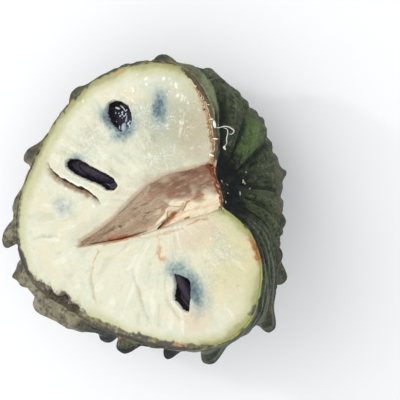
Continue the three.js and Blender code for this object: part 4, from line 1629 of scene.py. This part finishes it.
# ripe pulp cut with a knife: cream, half clear and wet, so its grains glint and edges glow; the grains'
# glints are partly painted as white specks, and its colours carry painted shade towards the stem, in the
# seed hollows and at the crack
wetPulp = {
    "base": "#dfddc4",
    "layers": [
        (None, "#e3d8b8", 14, 1, -0.1, 0.2, 0.7),
        (None, "#d0d8c6", 8, 1, -0.06, 0.24, 0.6),
        (None, "#e6e3cf", 2.2, 1, -0.06, 0.22, 0.5),
        # painted shade: greyer, warmer and yellower towards the stem end of the face
        ("greyerShade", "#b3b59b", 8, 0.5, 0.1, 1.0, 0.85),
        ("warmerShade", "#bbad90", 6, 0.5, 0.1, 1.0, 0.8),
        ("yellowShade", "#d8cfa2", 9, 0.4, 0.1, 1.0, 0.85),
        ("pinkish", "#dcc3a6", 5, 0.5, 0.1, 1.1, 0.6),
        ("strand", "#efeedd", 3, 1.2, 0.4, 1.3, 0.6),  # the pulp's fibres run out from the core
        ("strandGap", "#c2c0a2", 3, 1.2, 0.4, 1.3, 0.45),
        # grains of about 0.4 mm catch the light: their glints are painted as white specks, drawn at 0.7 mm
        # so that they show, with juice between them
        ("wet", "#b9bda4", 1.4, 1.4, 0.6, 1.2, 0.5),
        ("wet", "#fbfbf3", 0.7, 2.0, 0.85, 1.6, 0.75),
        *rimLayers[:-1],
        ("stain", "#bba58a", 3, 0.6, 0.1, 1.1, 0.95),
        ("stain", "#9a7a62", 2.4, 1.4, 0.9, 1.6, 0.6),
        ("veil", "#97aaa5", 2.4, 0.5, 0.04, 0.65, 0.88),
        ("veil", "#4d636c", 1.2, 1.2, 0.35, 1.1, 0.9),
        # painted highlight on the crack's raised lip, then painted shade and a painted shadow line on its
        # sunk side
        ("lipHighlight", "#f8f8ee", 1.5, 0.4, 0.2, 0.8, 0.9),
        ("crackShade", "#8a7150", 1.5, 0.3, 0.05, 0.8, 0.95),
        ("crackShadow", "#4a3726", 1.0, 0.4, 0.2, 0.9, 0.9),
        ("rust", "#cc9664", 1.0, 0.9, 0.1, 0.8, 0.85),
        ("foldShade", "#aeae94", 1.6, 0.5, 0.1, 1.0, 0.8),
        ("tornSpeck", "#8d7a64", 0.9, 1.8, 0.7, 1.2, 0.7),
        ("tornSpeck", "#fbfbf3", 0.8, 2.0, 1.05, 1.4, 0.8),
        ("tornEdge", "#5a4a46", 1.2, 1.0, 0.25, 0.9, 0.88),
        ("mouthEdge", "#dfe7e6", 1.0, 0.3, 0.3, 1.0, 0.3),
        # painted shade: the walls of the seed hollows drawn dark
        ("pocketShade", "#2f2832", 1.0, 0.05, -0.04, 0.05, 1.0),
    ],
    "relief": [(2.6, 0.5), (1.0, 0.9), (0.6, 0.6)],
    "reliefMask": "wetRelief",
    "depth": 0.6,
    "drift": 2.5,
    "roughness": (0.2, 0.42),
    "shader": {
        "IOR": 1.38,
        "Specular IOR Level": 0.4,
        "Subsurface Weight": 0.25,
        "Subsurface Radius": (1.0, 0.82, 0.55),
        "Subsurface Scale": 0.0012,
        "Coat Weight": 0.16,
        "Coat Roughness": 0.12,
    },
}


# woody core pulled apart lengthwise: matt tan fibre, oxidised red-brown where the air got in
tornCore = {
    "stretch": (0.3, 1, 0.6),
    "base": "#b39b80",
    "layers": [
        (None, "#9c8873", 4.5, 1, -0.1, 0.2, 0.8),
        (None, "#bd9175", 3.2, 1, -0.04, 0.2, 0.7),
        (None, "#ccbb9e", 2, 1, -0.02, 0.2, 0.8),
        ("upper", "#825b45", 4, 0.5, 0.05, 1.0, 0.9),
        ("upper", "#ad8c74", 2.4, 1.6, 0.75, 1.4, 0.65),
        ("blotch", "#77523f", 2.2, 1.2, 0.2, 1.3, 0.8),
        ("redSpot", "#a4563a", 1.4, 0.9, 0.25, 1.2, 0.7),
        # pale and dark fibres, 0.2 to 0.5 mm thick in the real core and drawn about 1 mm so that they show
        (None, "#d9c8ab", 1.2, 1, 0.02, 0.24, 0.35),
        (None, "#6b4b38", 1.0, 1, 0.04, 0.2, 0.5),
        ("pale", "#f1e6c6", 4, 0.7, 0.05, 0.9, 0.97),
        ("pale", "#d3a479", 1.6, 1.8, 0.75, 1.5, 0.75),
        ("pit", "#6b5340", 0.8, 0.4, 0.3, 0.9, 0.7),
        ("edgeFade", "#bfab90", 3, 0.5, 0.0, 0.9, 0.95),
        # oxidised red-brown, darkened as painted shadow under the lip and the lifted strip
        ("slotRustAndShade", "#b4632f", 1.4, 0.9, 0.05, 0.6, 0.85),
        ("slotRustAndShade", "#5e2f1b", 1.0, 0.9, 0.6, 1.2, 0.92),
        ("rust", "#c0652f", 1.0, 0.9, 0.2, 0.9, 0.8),
        ("endRust", "#7d3a17", 1.2, 0.8, 0.2, 0.8, 0.95),
    ],
    "relief": [(2.0, 0.6), (0.9, 0.8), (0.45, 0.7)],
    "depth": 0.5,
    "drift": 3,
    "roughness": (0.34, 0.6),
    "shader": {
        "IOR": 1.42,
        "Specular IOR Level": 0.3,
        "Subsurface Weight": 0.15,
        "Subsurface Radius": (1.0, 0.65, 0.4),
        "Subsurface Scale": 0.0012,
        "Coat Weight": 0.08,
        "Coat Roughness": 0.2,
    },
}


# seed coat, hard and naturally polished: near black, with small sharp glints
polishedSeed = {
    "base": "#37313d",
    "layers": [
        (None, "#413036", 2.5, 1, 0.0, 0.14, 0.8),
        (None, "#282c3b", 1.4, 1, 0.0, 0.14, 0.8),
    ],
    "relief": [(1.8, 1.0), (0.8, 0.7)],
    "depth": 0.45,
    "drift": 2,
    "roughness": (0.1, 0.28),
    "shader": {"IOR": 1.38, "Specular IOR Level": 0.22},
}


fibreFinish = {
    "relief": [(0.5, 1.0)],
    "depth": 0.15,
    "drift": 1.5,
    "roughness": (0.25, 0.4),
    "shader": {
        "IOR": 1.4,
        "Subsurface Weight": 0.3,
        "Subsurface Radius": (1.0, 0.8, 0.6),
        "Subsurface Scale": 0.0006,
        "Coat Weight": 0.25,
        "Coat Roughness": 0.12,
    },
}


def tornFibre(name, pale, dark):
    # wet plant fibre as it tore: half clear and pale, browner where it has dried
    layers = [("shade", dark, 1.2, 0.4, 0.3, 0.9, 0.95)]
    return makeMaterial(name, dict(fibreFinish, base=pale, layers=layers))


makeSkin(makeMaterial("custard_apple_rind_grown", waxyRind))
print("skin made")
makePulp(makeMaterial("custard_apple_pulp_cut_wet", wetPulp))
print("pulp made")
makeCore(makeMaterial("custard_apple_core_torn", tornCore))
makeCoreFibres(tornFibre("core_fibre_pulled", "#d3bf9e", "#9c7b5c"))
makeCoreFlap(tornFibre("core_strip_lifted", "#ecdec2", "#b3977a"))
print("core made")
seedCoat = makeMaterial("custard_apple_seed_coat", polishedSeed)
nodeNames = {
    "upper": "seed_upper",
    "middle": "seed_middle",
    "lower": "seed_lower",
    "veiledUpper": "seed_veiled_upper",
    "veiledLeft": "seed_veiled_left",
}
for count, (key, node) in enumerate(nodeNames.items()):
    makeSeed(f"{node}_coat", node, seeds[key], seedCoat, count)
print("seeds made")
makeFringe(tornFibre("pulp_edge_torn_oxidised", "#eadfbe", "#8e4518"))
makeArils(tornFibre("aril_milky_wet", "#e6ecec", "#8fa6b8"))
makeCurl(tornFibre("pulp_fibre_white", "#e9ebe0", "#d9d3bf"))
makeBeads(tornFibre("juice_bead_painted_glint", "#f4f8fb", "#7c8c9c"))
makeCrumbs(tornFibre("stem_hollow_cork", "#cfd0c8", "#7d8178"))
print("torn fibres made")


# matt paper sheet, near white, with only a faint cloudiness
mattPaper = {
    "base": "#fdfdfc",
    "layers": [(None, "#f9f9f9", 60, 1, -0.1, 0.1, 1)],
    "relief": [(2, 1.0)],
    "depth": 0.05,
    "drift": 50,
    "roughness": (0.8, 0.9),
    "shader": {},
}

studio = {
    "lightsAim": (0, 0, 0.04),
    "floorHalf": 1.5,
    "sunPower": 0.5,
    "sunAngle": 40,
    "sunFrom": (-0.42, 0.36, 0.9),
    "sparkPower": 0.4,
    "sparkSize": 0.04,
    "sparkFrom": (-0.4, 0.2, 0.42),
    "skyColour": "#f3f5f8",
    "skyStrength": 1.0,
}

cameraView = {
    "place": (0.10885, 0.06236, 0.47905),
    "turn": (-7.939, 10.703, -1.701),
    "lens": 110,
    "sensor": 36,
}


def makeFloor():
    half = studio["floorHalf"]
    mesh = bpy.data.meshes.new("floor")
    corners = [(-half, -half, 0), (half, -half, 0), (half, half, 0), (-half, half, 0)]
    mesh.from_pydata(corners, [], [(0, 1, 2, 3)])
    mesh.materials.append(makeMaterial("studio_paper_matt", mattPaper))
    floor = addObject("floor", mesh)


def addLight(name, kind, power, spread, place):
    light = bpy.data.lights.new(name, kind)
    light.energy = power
    if kind == "SUN":
        light.angle = math.radians(spread)
    else:
        light.size = spread
    lamp = addObject(name, light)
    lamp.location = place
    lamp.rotation_mode = "QUATERNION"
    lamp.rotation_quaternion = (Vector(studio["lightsAim"]) - Vector(place)).to_track_quat("-Z", "Y")


def makeCamera():
    data = bpy.data.cameras.new("camera")
    data.lens = cameraView["lens"]
    data.sensor_width = cameraView["sensor"]
    data.clip_start = 0.01
    camera = addObject("camera", data)
    camera.location = cameraView["place"]
    camera.rotation_euler = [math.radians(a) for a in cameraView["turn"]]
    bpy.context.scene.camera = camera


def makeSky():
    world = bpy.data.worlds.new("sky")
    world.use_nodes = True
    background = world.node_tree.nodes["Background"]
    background.inputs["Color"].default_value = hexColour(studio["skyColour"])
    background.inputs["Strength"].default_value = studio["skyStrength"]
    bpy.context.scene.world = world


makeFloor()
addLight("sun", "SUN", studio["sunPower"], studio["sunAngle"], studio["sunFrom"])
addLight("spark", "AREA", studio["sparkPower"], studio["sparkSize"], studio["sparkFrom"])
makeCamera()
makeSky()
print("studio and camera set")
bpy.context.scene.view_settings.view_transform = "Standard"
